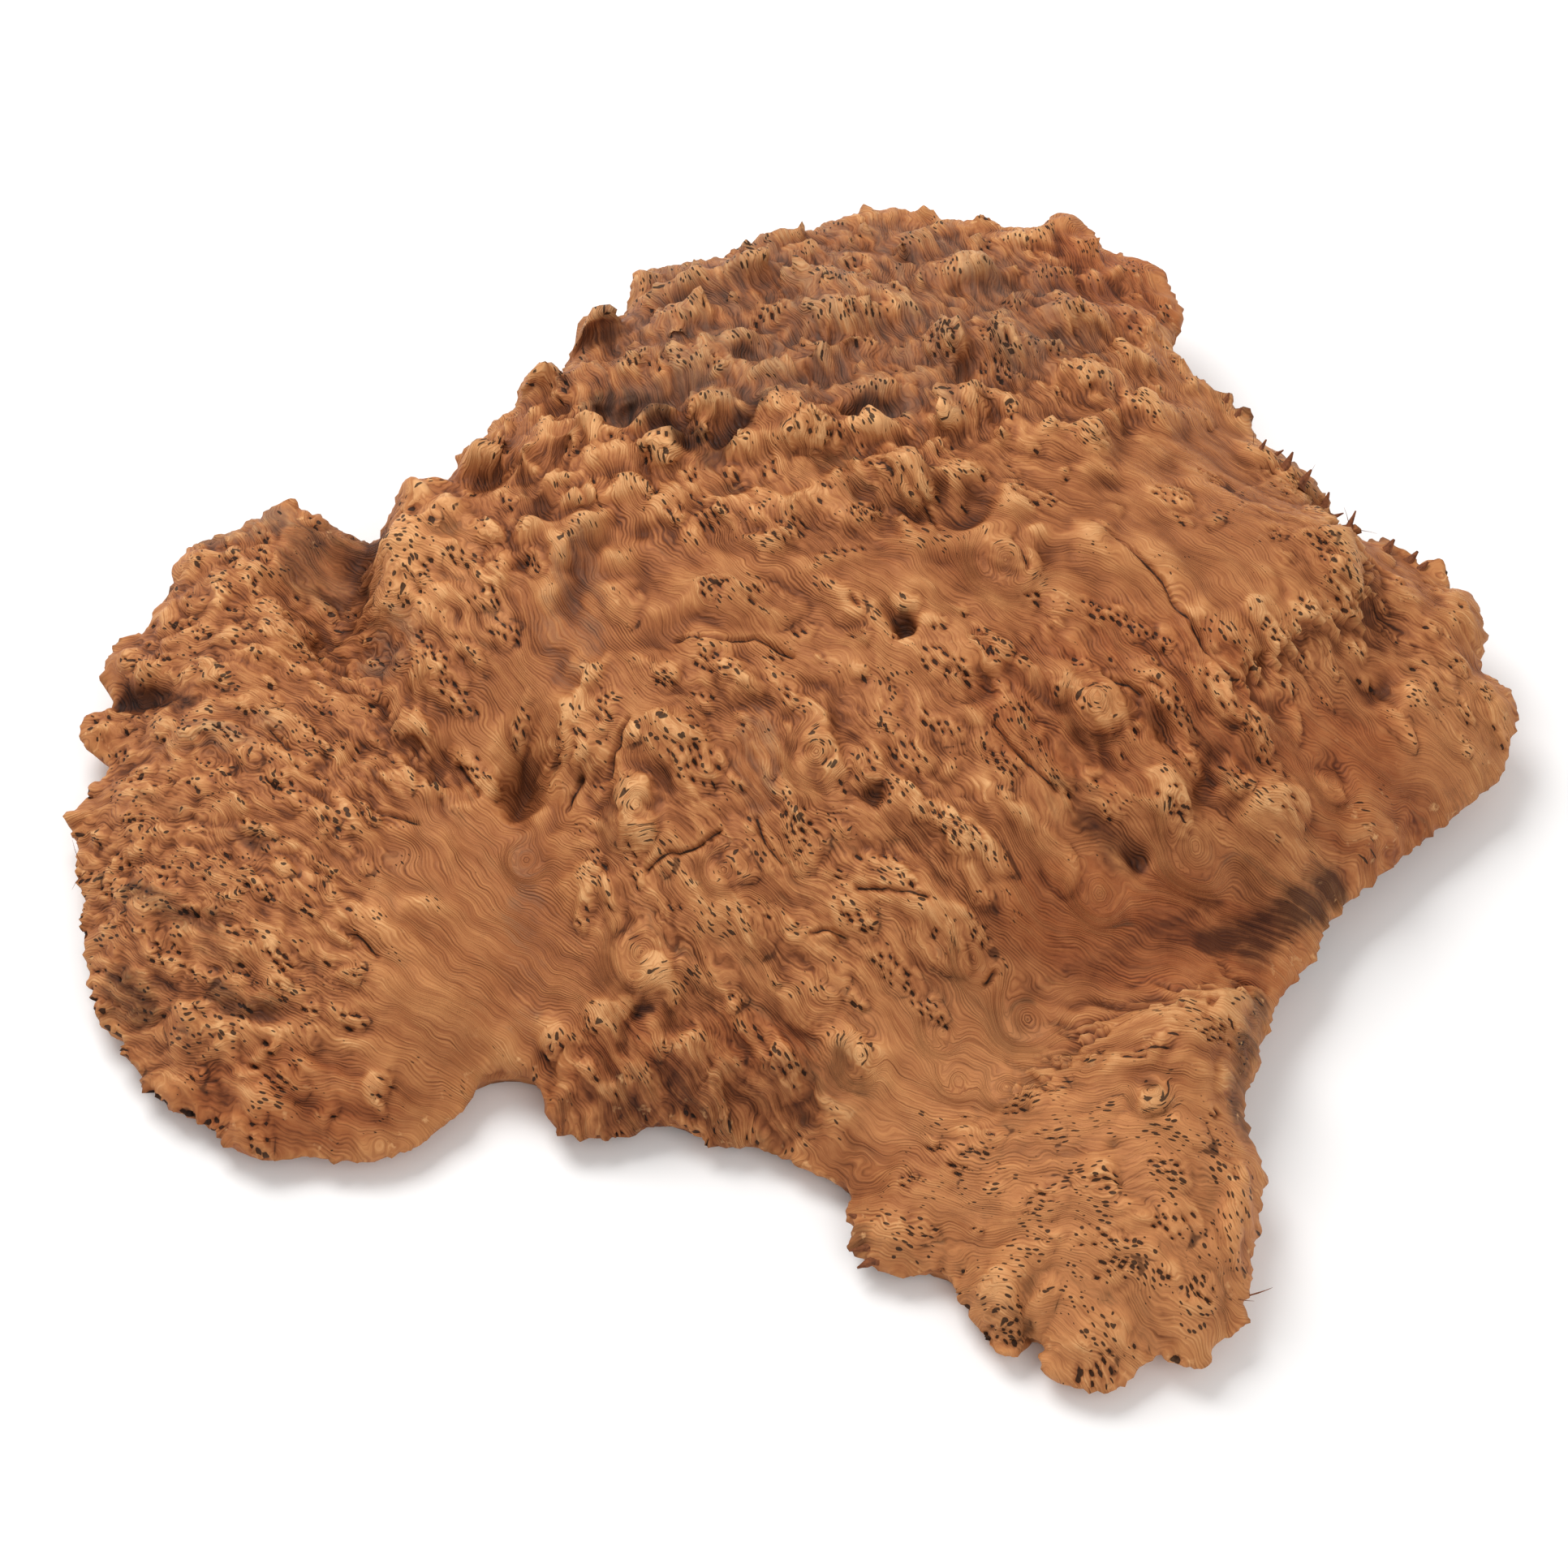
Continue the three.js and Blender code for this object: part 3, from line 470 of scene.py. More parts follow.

# Stains, tints and painted shade. Each oval: centre, half axes and strength
stainsAndShade = {
    "barkDark": 1.5,
    # painted shade: darkens the soft hollows with their depth, partly darker wood
    "hollowShade": 0.1,
    "strokeEnd": 1.4,
    "dark": {
        "lobeFront": ((-276, -123), (18, 9), 0.6),
        "spurTip": ((20, -229), (10, 8), 0.7),
        # painted shade on the side of the fin
        "shadedFinSide": ((-204, 96), (26, 32), 0.8),
        "spot": ((-62, -143), (5, 3), 1.0),
        "frontPit": ((-24, -169), (9, 7), 0.5),
        "frontPitRight": ((1, -179), (8, 7), 0.45),
        "faceStain": ((114, -67), (13, 10), 0.5),
        "faceHole": ((44, 10), (5, 4), 1.0),
        "bulgeHollow": ((-113, -34), (10, 18), 0.35),
        # painted shade on the front-facing lumps of the front edge
        "frontEdge": ((-45, -175), (75, 16), 0.6),
    },
    "strokes": {  # dark streaks: half width in millimetres, strength, places along the line in the photo
        "valleyEnd": (8, 1.15, [(1645, 1096), (1600, 1121), (1545, 1148), (1490, 1160)]),
        "valleyBlot": (10, 1.1, [(1575, 1140), (1540, 1168)]),
        "valleyTail": (6, 0.5, [(1500, 1135), (1440, 1165), (1370, 1185), (1300, 1215)]),
        # painted shade along the floor of the valley
        "shadedValleyFloor": (12, 0.3, [(1580, 1085), (1470, 1130), (1340, 1170), (1250, 1215)]),
        "underKnob": (5, 0.9, underKnob),
        "lobeRow": (5, 0.9, [(160, 1100), (200, 1108), (230, 1128), (275, 1142)]),
        "lobeRowBack": (5, 0.6, [(170, 985), (240, 1000), (320, 1040)]),
        "lobeCorner": (9, 0.9, [(140, 1215), (165, 1235), (180, 1250)]),
        "lobeMiddle": (5, 0.8, [(262, 1222), (294, 1239), (330, 1242)]),
        "lobePatch": (7, 0.5, [(255, 1165), (290, 1185)]),
        "bulgeFoot": (3, 0.4, [(470, 880), (500, 925), (540, 960), (580, 985)]),
        "bulgeHollow": (7, 0.35, [(648, 880), (655, 940), (640, 985)]),
        "rightEye": (9, 0.7, [(1376, 1056), (1392, 1066)]),
        "toeSide": (6, 0.8, [(1552, 1238), (1538, 1290), (1522, 1350), (1530, 1400)]),
        "toeLeft": (9, 0.4, [(1190, 1560), (1215, 1615), (1255, 1640)]),
        "valleyLine": (4, 0.6, [(1250, 1240), (1330, 1190), (1420, 1150), (1500, 1110)]),
        "rightFold": (5, 0.6, [(1300, 960), (1350, 1010), (1390, 1050)]),
        "crestPatch": (10, 1.15, [(745, 492), (785, 500), (820, 520), (848, 535)]),
        "crestSecond": (9, 0.9, [(925, 500), (900, 530), (880, 560)]),
        "finTop": (7, 0.45, [(272, 690), (310, 662), (345, 648)]),
        "shoulderFold": (4, 0.5, [(1455, 880), (1490, 920), (1510, 960)]),
    },
    "bark": {  # only on the edge
        "backRight": ((222, 150), (60, 75), 1.0),
        "frontRight": ((270, -60), (70, 60), 0.7),
        "frontEdge": ((-40, -180), (90, 30), 0.7),
        "lobeFront": ((-270, -130), (70, 70), 0.7),
        "spur": ((30, -230), (30, 20), 0.9),
    },
    "grey": {
        "finTop": ((-247, 119), (26, 14), 0.9),
        "lobeBack": ((-175, 29), (16, 16), 0.6),
        "domeHollowLeft": ((-62, 138), (30, 14), 1.0),
        "domeHollow": ((-8, 128), (34, 9), 0.8),
        "domeHollowRight": ((40, 123), (16, 10), 0.8),
        "saddle": ((-112, -118), (10, 50), 0.4),
        "leftValley": ((-94, 22), (16, 36), 0.55),
        "lobe": ((-250, -10), (36, 14), 0.45),
        "facePass": ((-17, -55), (10, 26), 0.55),
        "upperDome": ((10, 200), (140, 85), 0.7),
    },
    "pale": {
        "bulgeTop": ((-160, 62), (26, 30), 0.9),
        "bulgeSide": ((-135, 32), (18, 22), 0.6),
        "lobeScar": ((-171, -102), (10, 14), 0.9),
        "toe": ((112, -235), (72, 62), 0.85),
        "mouth": ((60, -165), (55, 34), 0.75),
        "saddleTop": ((-145, -100), (32, 60), 0.5),
        "rightFront": ((283, 0), (34, 36), 0.6),
        "frontFace": ((0, -112), (85, 35), 0.4),
        "domeTop": ((5, 78), (45, 22), 0.4),
    },
    "red": {
        "backCorner": ((145, 245), (40, 50), 0.9),
        "valley": ((150, -110), (80, 26), 0.9),
        "rightFace": ((140, -20), (80, 45), 0.7),
        "lobeFront": ((-225, -172), (70, 18), 0.8),
        "rightFront": ((247, -34), (50, 40), 0.8),
        "frontEdge": ((-55, -165), (80, 26), 0.7),
        "swirl": ((58, 40), (30, 20), 0.4),
        "shoulder": ((180, 35), (45, 40), 0.25),
        "toe": ((112, -235), (72, 62), 0.6),
        "mouth": ((60, -165), (55, 34), 0.3),
    },
}

# How ovals fade past their outlines, in shares of their half axes
ovalFade = {"end": 1.3, "width": 0.6}

# Numbers that keep the patterns of noise apart
patterns = {
    "fingers": 31.3,
    "folds": 37.1,
    "waves": 17.9,
    "flutes": (3.7, 12.7),
    "lumps": 40,
    "strayAcross": 90,
    "outlines": 60,
}
tiny = 1e-12  # keeps a length from being nothing


def shareInOval(points, centre, halfAxes):
    # 1 inside, falling softly to 0 past the outline
    x = (points[:, 0] - centre[0]) / halfAxes[0]
    y = (points[:, 1] - centre[1]) / halfAxes[1]
    inside = np.clip((ovalFade["end"] - np.hypot(x, y)) / ovalFade["width"], 0, 1)
    return inside * inside * (3 - 2 * inside)


def strongest(points, ovals):
    shares = [strength * shareInOval(points, at, size) for at, size, strength in ovals.values()]
    return np.max(shares, axis=0)


def bell(distance, reach):
    # 1 at no distance, falling away over the reach
    return np.exp(-((distance / reach) ** 2))


def turned(x, y, turn):
    # an offset as lengths along and across a direction
    return x * math.cos(turn) + y * math.sin(turn), y * math.cos(turn) - x * math.sin(turn)


def lineGap(x, y, line):
    # distance to a line of places, below zero on its right, and the part of it past the line's ends
    nearest, past = np.full(len(x), np.inf), np.zeros(len(x))
    for (ax, ay), (bx, by) in zip(line, line[1:]):
        dx, dy = bx - ax, by - ay
        share = ((x - ax) * dx + (y - ay) * dy) / (dx * dx + dy * dy)
        beyond = ((ax, ay) == line[0]) & (share < 0) | ((bx, by) == line[-1]) & (share > 1)
        share = np.clip(share, 0, 1)
        gap = np.hypot(x - ax - share * dx, y - ay - share * dy)
        closer = gap < np.abs(nearest)
        past = np.where(closer, gap * beyond, past)
        nearest = np.where(closer, np.copysign(gap, dx * (y - ay) - dy * (x - ax)), nearest)
    return nearest, past


def neighbourMean(values, edges):
    count = len(values)
    links = np.bincount(edges.ravel(), minlength=count)
    ends, others = edges.ravel(), edges[:, ::-1].ravel()
    columns = [np.bincount(ends, column[others], count) / links for column in np.atleast_2d(values.T)]
    return np.array(columns).T.reshape(values.shape)


def blurred(values, edges, passes):
    for _ in range(passes):
        values = neighbourMean(values, edges)
    return values


def vertexNormals(points, triangles):
    a, b, c = (points[triangles[:, k]] for k in range(3))
    faceNormals = np.cross(b - a, c - a)
    normals = np.zeros_like(points)
    for k in range(3):
        for axis in range(3):
            normals[:, axis] += np.bincount(triangles[:, k], faceNormals[:, axis], len(points))
    return normals / np.maximum(np.linalg.norm(normals, axis=1, keepdims=True), tiny)


def meshArrays(mesh):
    points = np.zeros(len(mesh.vertices) * 3)
    edges = np.zeros(len(mesh.edges) * 2, int)
    corners = np.zeros(len(mesh.loops), int)
    mesh.vertices.foreach_get("co", points)
    mesh.edges.foreach_get("vertices", edges)
    mesh.loops.foreach_get("vertex_index", corners)
    return points.reshape(-1, 3) / mm, edges.reshape(-1, 2), corners.reshape(-1, 3)


def layerValues(mesh, name):
    values = np.zeros(len(mesh.vertices))
    mesh.attributes[name].data.foreach_get("value", values)
    return values


def setLayer(mesh, name, values):
    layer = mesh.attributes.get(name) or mesh.attributes.new(name, "FLOAT", "POINT")
    layer.data.foreach_set("value", np.asarray(values, np.float32))


def pointTree(points):
    tree = kdtree.KDTree(len(points))
    for index, point in enumerate(points):
        tree.insert(point, index)
    tree.balance()
    return tree


def settle(shape, mesh):
    bmesh.ops.triangulate(shape, faces=shape.faces)
    shape.to_mesh(mesh)
    shape.free()


def fitSteps(edges, steps, count):
    # values whose change along every edge comes closest to the step wanted there
    start, end = edges.T

    def pull(along):
        return np.bincount(end, along, count) - np.bincount(start, along, count)

    values = np.zeros(count)
    left = pull(steps)
    heading = left.copy()
    size = left @ left
    for _ in range(grain["fitPasses"]):
        pushed = pull(heading[end] - heading[start])
        stride = size / (heading @ pushed)
        values += stride * heading
        left -= stride * pushed
        newSize = left @ left
        heading = left + heading * newSize / size
        size = newSize
    return values


def copySkin():
    # the solid's own mesh with its doubles merged, and a tree of its faces for sight lines
    mesh = bpy.data.meshes.new("burlCap")
    shape = bmesh.new()
    shape.from_mesh(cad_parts["burl_cap"].data)
    bmesh.ops.remove_doubles(shape, verts=shape.verts, dist=0.001 * mm)
    tree = BVHTree.FromBMesh(shape)
    shape.to_mesh(mesh)
    shape.free()
    return mesh, tree


burlMesh, burlSkin = copySkin()


def sightHit(across, down):
    # where the sight line through a place in the photo meets the burl
    middle = photoView["imageWidth"] / 2
    aside = Vector((across - middle, 0, 0)) + (middle - down) * Vector(viewUp)
    sight = photoView["focalPixels"] * Vector(viewAhead) + aside
    return burlSkin.ray_cast(viewEye * mm, sight.normalized())[0]


def skinPlaces(marks):
    # the same for many marks, from above, in millimetres
    places = []
    for mark in marks:
        hit = sightHit(*mark[:2])
        if hit is None:
            print("off the burl:", mark)
        places.append((hit.x / mm, hit.y / mm) if hit else (0, 0))
    return places


def seenTurn(turn):
    # a direction seen in the photo, laid on the ground: lengths away from the eye look shorter
    return math.atan2(math.sin(math.radians(turn)) / math.sin(viewTilt), math.cos(math.radians(turn)))


def seenLength(length, turn):
    stretch = math.hypot(math.cos(math.radians(turn)), math.sin(math.radians(turn)) / math.sin(viewTilt))
    return length * stretch * photoView["distance"] / photoView["focalPixels"]


def fibreHeadings(guides, places):
    # unit directions of the fibres, blended from the guides near each place
    gaps = ((places[:, None, :] - guides[None, :, :2]) ** 2).sum(axis=2)
    weights = np.exp(-gaps / (2 * grain["reach"] ** 2)) + grain["farPull"] / (gaps + 1)
    headings = weights @ np.column_stack((np.cos(guides[:, 2]), np.sin(guides[:, 2])))
    return headings / np.maximum(np.linalg.norm(headings, axis=1, keepdims=True), tiny)


def layGrain(mesh):
    # two lengths at each point, across the fibres and along them, and the guides they follow
    seen = [mark for marks in grain["seen"].values() for mark in marks]
    guides = np.column_stack((skinPlaces(seen), [seenTurn(mark[2]) for mark in seen]))
    points, edges, _ = meshArrays(mesh)
    headings = fibreHeadings(guides, points[edges].mean(axis=1)[:, :2])
    steps = points[edges[:, 1]] - points[edges[:, 0]]
    flat = np.maximum(np.linalg.norm(steps[:, :2], axis=1), tiny)
    slope = np.minimum(np.linalg.norm(steps, axis=1) / flat, grain["steepest"])
    along = (steps[:, :2] * headings).sum(axis=1) * slope
    across = (steps[:, 1] * headings[:, 0] - steps[:, 0] * headings[:, 1]) * slope
    setLayer(mesh, "along", fitSteps(edges, along, len(points)))
    setLayer(mesh, "across", fitSteps(edges, across, len(points)))
    return guides


def grainNoise(across, along, width, length, pattern):
    spots = zip(across / width, along / length)
    return np.array([noise.noise((u, v, pattern)) for u, v in spots])


def lumpNoise(points, size, pattern=0):
    return np.array([noise.noise(p) for p in ((points + pattern) / size).tolist()])


def splitSkin(mesh):
    # the solid's own skin split finer and rounded between its facets
    shape = bmesh.new()
    shape.from_mesh(mesh)
    shape.normal_update()
    topEdges = {edge for face in shape.faces if face.normal.z > 0 for edge in face.edges}
    sideEdges = {edge for edge in shape.edges if max(v.co.z for v in edge.verts) > onFace * mm} - topEdges
    for edges, cuts in ((topEdges, relief["cuts"]), (sideEdges, relief["sideCuts"])):
        ordered = sorted(edges, key=lambda edge: edge.index)
        bmesh.ops.subdivide_edges(shape, edges=ordered, cuts=cuts, use_grid_fill=True)
    settle(shape, mesh)

    points, edges, _ = meshArrays(mesh)
    held = points[:, 2] < onFace
    for share in relief["roundingShares"] * relief["roundingPasses"]:
        moved = points + share * (neighbourMean(points, edges) - points)
        points = np.where(held[:, None], points, moved)
    mesh.vertices.foreach_set("co", (points * mm).ravel())
    for name in ("along", "across"):
        setLayer(mesh, name, blurred(layerValues(mesh, name), edges, grain["softPasses"]))
    print("burl skin:", len(mesh.polygons), "triangles")


def hasRoom(x, y, spacing, mounds):
    if strongest(np.array([[x, y]]), relief["plainOvals"])[0] > moundFields["plainest"]:
        return False
    margin = moundFields["margin"]
    gaps = (math.hypot(x - m[0], y - m[1]) / max(spacing, 0.5 * (m[2] + m[3]) + margin) for m in mounds)
    return min(gaps) > 1


def placeMounds(guides):
    # every mound as x, y, half length, half width, turn, rise and whether it is a cone
    mounds = []
    for group, seen in moundsSeen.items():
        cone = group in moundFields["cones"]
        for (x, y), (_, _, half, width, turn, rise) in zip(skinPlaces(seen), seen):
            size = (seenLength(half, turn), seenLength(width, turn + 90))
            turn = turn - 180 if turn > moundFields["noseTurn"] else turn
            mounds.append((x, y, *size, seenTurn(turn), rise, cone))
    draw = random.Random(moundFields["seed"])
    for group, (centre, reach, spacing, size, rise) in moundFields["fields"].items():
        cone = group in moundFields["cones"]
        wanted = round(moundFields["tries"] * math.pi * reach[0] * reach[1] / spacing ** 2)
        for _ in range(wanted):
            far, turn = math.sqrt(draw.random()), draw.uniform(0, 2 * math.pi)
            x = centre[0] + reach[0] * far * math.cos(turn)
            y = centre[1] + reach[1] * far * math.sin(turn)
            grow, lean = draw.uniform(*moundFields["growth"]), draw.gauss(0, moundFields["turnSpread"])
            if hasRoom(x, y, spacing, mounds):
                heading = fibreHeadings(guides, np.array([[x, y]]))[0]
                turn = math.atan2(heading[1], heading[0]) + lean
                height = rise * draw.uniform(*moundFields["riseSpread"])
                mounds.append((x, y, size[0] * grow, size[1] * grow, turn, height, cone))
    print("mounds:", len(mounds))
    return mounds


def tipWay(turn, half, width):
    # where a cone's tip points, in shares of its half axes
    return Vector((math.sin(turn) * half, math.cos(turn) * width)).normalized()


def raiseMounds(points, mounds):
    # rise of the long mounds and of the cones at each point, and the distance to the nearest nose's foot
    rises = np.zeros((2, len(points)))
    foot = np.full(len(points), float(moundFields["footReach"]))
    strayed = points[:, :2].copy()
    for throw, size in moundFields["strays"]:
        for axis in range(2):
            strayed[:, axis] += throw * lumpNoise(points, size, patterns["outlines"] * axis)
    peak, (lean, byX, byY) = moundFields["peak"], moundFields["coneLean"]
    share, margin = moundFields["search"]
    for x, y, half, width, turn, rise, cone in mounds:
        offsets = strayed - (x, y)
        near = np.flatnonzero(np.abs(offsets).max(axis=1) < share * max(half, width) + margin)
        u, v = turned(*offsets[near].T, turn)
        u, v = u / half, v / width
        back = turn - lean * math.sin(byX * x + byY * y)
        nose = tipWay(back, half, width) if cone else (1, 0)
        ahead, aside = u * nose[0] + v * nose[1], v * nose[0] - u * nose[1]
        ahead = (ahead - peak) / np.where(ahead > peak, 1 - peak, 1 + peak)
        out = np.hypot(ahead, aside)
        if cone:
            body = np.maximum(0, 1 - out) ** moundFields["coneEdge"] * moundFields["coneRise"]
        else:
            body = np.maximum(0, 1 - out ** 2)
            ring = np.where(ahead > 0, np.abs(out - 1) * width, moundFields["footReach"])
            foot[near] = np.minimum(foot[near], ring)
        rises[int(cone), near] = np.maximum(rises[int(cone), near], rise * body)
    return *rises, foot


def splitMounds(points, u, v, mounds):
    # mounds split into fingers and cones into folds, the distance to the nearest foot, and the fingers
    mound, cones, foot = raiseMounds(points, mounds)
    fingers = np.abs(grainNoise(u, v, *moundFields["fingers"], patterns["fingers"]))
    folds = np.abs(grainNoise(u, v, *moundFields["folds"], patterns["folds"]))
    between, more = moundFields["fingerRise"]
    coneBetween, coneMore = moundFields["foldRise"]
    mound = np.maximum(mound * (between + more * fingers), cones * (coneBetween + coneMore * folds))
    return mound, foot, fingers


def placePinholes(mounds, rings):
    # holes crowd on the tops of the mounds and keep off the ringed knots
    draw = random.Random(pinholes["seed"])
    holes, taken = [], {}
    spacing = pinholes["spacing"]
    for x, y, half, width, turn, _, cone in mounds:
        ringed = min(math.hypot(x - ring[0], y - ring[1]) for ring in rings) < pinholes["keepOff"]
        share = max(0, draw.uniform(*pinholes["shares"])) * (not ringed)
        wanted = min(pinholes["most"], round(share * half * width * math.pi / pinholes["roomEach"]))
        offset = draw.uniform(*pinholes["offsets"]) + (0 if cone else pinholes["toNose"])
        tip = tipWay(turn, half, width) if cone else (0, 0)
        for _ in range(pinholes["tries"] * wanted):
            far, way = pinholes["cluster"] * math.sqrt(draw.random()), draw.uniform(0, 2 * math.pi)
            u = half * (far * math.cos(way) + offset + pinholes["toTip"] * tip[0])
            v = width * (far * math.sin(way) + pinholes["toTip"] * tip[1])
            dx, dy = turned(u, v, -turn)
            hole = (x + dx, y + dy)
            column, row = (math.floor(at / spacing) for at in hole)
            cells = [(column + i, row + j) for i in (-1, 0, 1) for j in (-1, 0, 1)]
            near = [other for cell in cells for other in taken.get(cell, [])]
            if wanted and all(math.dist(hole, other) > spacing for other in near):
                taken.setdefault((column, row), []).append(hole)
                holes.append(hole)
                wanted -= 1
    print("pinholes:", len(holes))
    return holes


def crackGap(points, lines):
    # gap to the nearest crack and what lies past its ends, seen from above
    stray = cracks["stray"] * lumpNoise(points, cracks["straySize"])
    x, y = points[:, 0] + stray, points[:, 1] - stray
    gaps, pasts = np.array([lineGap(x, y, line) for line in lines]).transpose(1, 0, 2)
    closest = (np.abs(gaps).argmin(axis=0), np.arange(len(points)))
    return gaps[closest], pasts[closest]


def refineRound(mesh, centres, lines):
    # halve the edges round the pinholes and along the cracks
    tree = pointTree(centres)
    points, edges, _ = meshArrays(mesh)
    middles = points[edges].mean(axis=1)
    cracked = np.abs(crackGap(middles, lines)[0]) < cracks["refineWithin"]
    reach = pinholes["refineWithin"]
    wanted = [crack or tree.find(middle)[2] < reach for middle, crack in zip(middles, cracked)]
    shape = bmesh.new()
    shape.from_mesh(mesh)
    near = [edge for edge, chosen in zip(shape.edges, wanted) if chosen]
    bmesh.ops.subdivide_edges(shape, edges=near, cuts=1, use_grid_fill=True)
    settle(shape, mesh)
    return tree


def prickSkin(mesh, holes, crackLines):
    # each pinhole moved to the nearest point of the skin: its place in the grain, and a tree of the points
    points, _, _ = meshArrays(mesh)
    flatTree = pointTree(points * (1, 1, 0))
    chosen = sorted({flatTree.find((x, y, 0))[1] for x, y in holes})
    holeGrain = np.column_stack([layerValues(mesh, name)[chosen] for name in ("across", "along")])
    return holeGrain, refineRound(mesh, points[chosen], crackLines)


def moundRise(points, edges, normals, radius):
    # how far the skin stands out of its surroundings, in millimetres
    step = np.median(np.linalg.norm(points[edges[:, 0]] - points[edges[:, 1]], axis=1))
    passes = round(2 * (radius / step) ** 2)
    return ((points - blurred(points, edges, passes)) * normals).sum(axis=1)


def sinkEyes(points):
    # depth of the larger eyes at each point, and how dark rot has left it
    depth, inside = np.zeros(len(points)), np.zeros(len(points))
    for (x, y), (_, _, radius, deep) in zip(skinPlaces(eyes["seen"]), eyes["seen"]):
        share = bell(np.hypot(points[:, 0] - x, points[:, 1] - y), radius)
        depth += deep * share
        inside = np.maximum(inside, share * min(1, deep / eyes["darkDepth"]))
    return depth, inside


def sinkHollows(points):
    # depth of the soft hollows at each point
    depth = np.zeros(len(points))
    for seen in hollows.values():
        for (x, y), (_, _, half, width, turn, deep) in zip(skinPlaces(seen), seen):
            u, v = turned(points[:, 0] - x, points[:, 1] - y, seenTurn(turn))
            out = np.hypot(u / seenLength(half, turn), v / seenLength(width, turn + 90))
            depth += deep * bell(out, 1)
    return depth


def sinkGrooves(points):
    depth = np.zeros(len(points))
    for half, deep, seen in grooves.values():
        gap, _ = lineGap(*points.T[:2], skinPlaces(seen))
        depth += deep * bell(gap, half)
    return depth


def raiseLips(points, fingers):
    # rise up to each lip and the drop past it, its line frayed into fingers
    lift = np.zeros(len(points))
    for rise, reach, drop, fall, seen in lips["lines"].values():
        gap, past = lineGap(*points.T[:2], skinPlaces(seen))
        gap = gap + lips["fray"] * (fingers - lips["frayMiddle"])
        out = bell(np.minimum(gap, 0), lips["brink"])
        up = rise * out * np.exp(-np.maximum(gap, 0) / reach)
        lift += (up - drop * (1 - out) * bell(gap, fall)) * bell(past, lips["endFade"])
    return lift


def trimKnobs(points, edges):
    # knobs of the edge brought down to the height they have in the photo, and their left sides out
    away = points - np.array(photoView["target"])
    scale = photoView["focalPixels"] / (photoView["distance"] + away @ np.array(viewAhead))
    across = photoView["imageWidth"] / 2 + scale * away[:, 0]
    down = photoView["imageWidth"] / 2 - scale * (away @ np.array(viewUp))
    shift = np.zeros_like(points)
    for top, height, fall, half, push in knobTops["seen"].values():
        side = np.clip(knobTops["sideEnd"] - knobTops["sideFall"] * np.abs(across - top) / half, 0, 1)
        over = np.maximum(height + fall * (across - top) ** 2 - down, 0)
        shift -= (side * over / scale)[:, None] * np.array(viewUp)
        flank = np.hypot(across - top + half * knobTops["flank"], down - height - half)
        shift[:, 0] -= push * bell(flank, half)
    return points + blurred(shift, edges, knobTops["softPasses"])


def sinkPinholes(points, across, along, holes, tree):
    # depth of the pinholes at each point, and how far inside one it is
    draw = random.Random(pinholes["seed"] + 1)
    kinds = [[draw.uniform(*pinholes[key]) for key in ("halfWidth", "stretch", "depth")] for _ in holes]
    depth, inside = np.zeros(len(points)), np.full(len(points), -1.0)
    for index, place in enumerate(points):
        _, hole, distance = tree.find(place)
        if distance < pinholes["search"] * pinholes["refineWithin"]:
            width, stretch, deep = kinds[hole]
            u = (across[index] - holes[hole][0]) / width
            v = (along[index] - holes[hole][1]) / (width * stretch)
            inside[index] = 1 - math.hypot(u, v) / 2
            depth[index] = deep * min(1, max(0, 2 * inside[index]))
    return depth, inside


def waveSkin(points, u, v, plain, fluting):
    # low waves and flutes along the grain, with lumps for waves where the wood has no rows
    unrowed = strongest(points, relief["unrowedOvals"])
    waves = (1 - unrowed) * grainNoise(u, v, *relief["waves"], patterns["waves"])
    waves += relief["lumpShare"] * unrowed * lumpNoise(points, relief["lumps"], patterns["lumps"])
    calm = relief["plainWaves"]
    lift = relief["waveDepth"] * (calm + (1 - calm) * plain) * waves
    gain, middle = relief["billow"]
    for (width, length, depth), pattern in zip(relief["flutes"], patterns["flutes"]):
        billow = np.abs(grainNoise(u, v, width, length, pattern))
        lift += depth * fluting * (gain * billow - middle)
    return lift


def tearEdge(points, normals, lift):
    # the same lift, calmer where the skin stands upright, with the lumps of the torn edge
    edge = bell(normals[:, 2], relief["edgeTurn"])
    lift = lift * (1 - relief["edgeCalm"] * edge)
    gain, middle = relief["edgeBillow"]
    lumps = gain * np.abs(lumpNoise(points, relief["edgeLump"])) - middle
    bark = 1 + relief["barkRise"] * strongest(points, stainsAndShade["bark"])
    return lift + relief["edgeDepth"] * edge * bark * lumps


def ringKnots(points, flow, rings):
    # the grain's lines closed into rings round the knots
    for (x, y), (_, _, radius) in zip(rings, knots):
        distance = np.hypot(points[:, 0] - x, points[:, 1] - y)
        share = np.exp(-((distance / radius) ** grain["knotEdge"]))
        flow = flow * (1 - share) + share * (grain["knotWarp"] * distance + flow[distance.argmin()])
    return flow


def stainAndShadeLayers(points, rim, hollow):
    layers = {name: strongest(points, stainsAndShade[name]) for name in ("dark", "grey", "pale", "red")}
    bark = stainsAndShade["barkDark"] * rim * strongest(points, stainsAndShade["bark"])
    # the dark layer: real dark stains and bark, with painted shade in the soft hollows
    layers["dark"] = np.max((layers["dark"], bark, stainsAndShade["hollowShade"] * hollow), axis=0)
    for half, strength, seen in stainsAndShade["strokes"].values():
        gap, _ = lineGap(*points.T[:2], skinPlaces(seen))
        stroke = strength * np.clip(stainsAndShade["strokeEnd"] - np.abs(gap) / half, 0, 1)
        layers["dark"] = np.maximum(layers["dark"], stroke)
    return layers


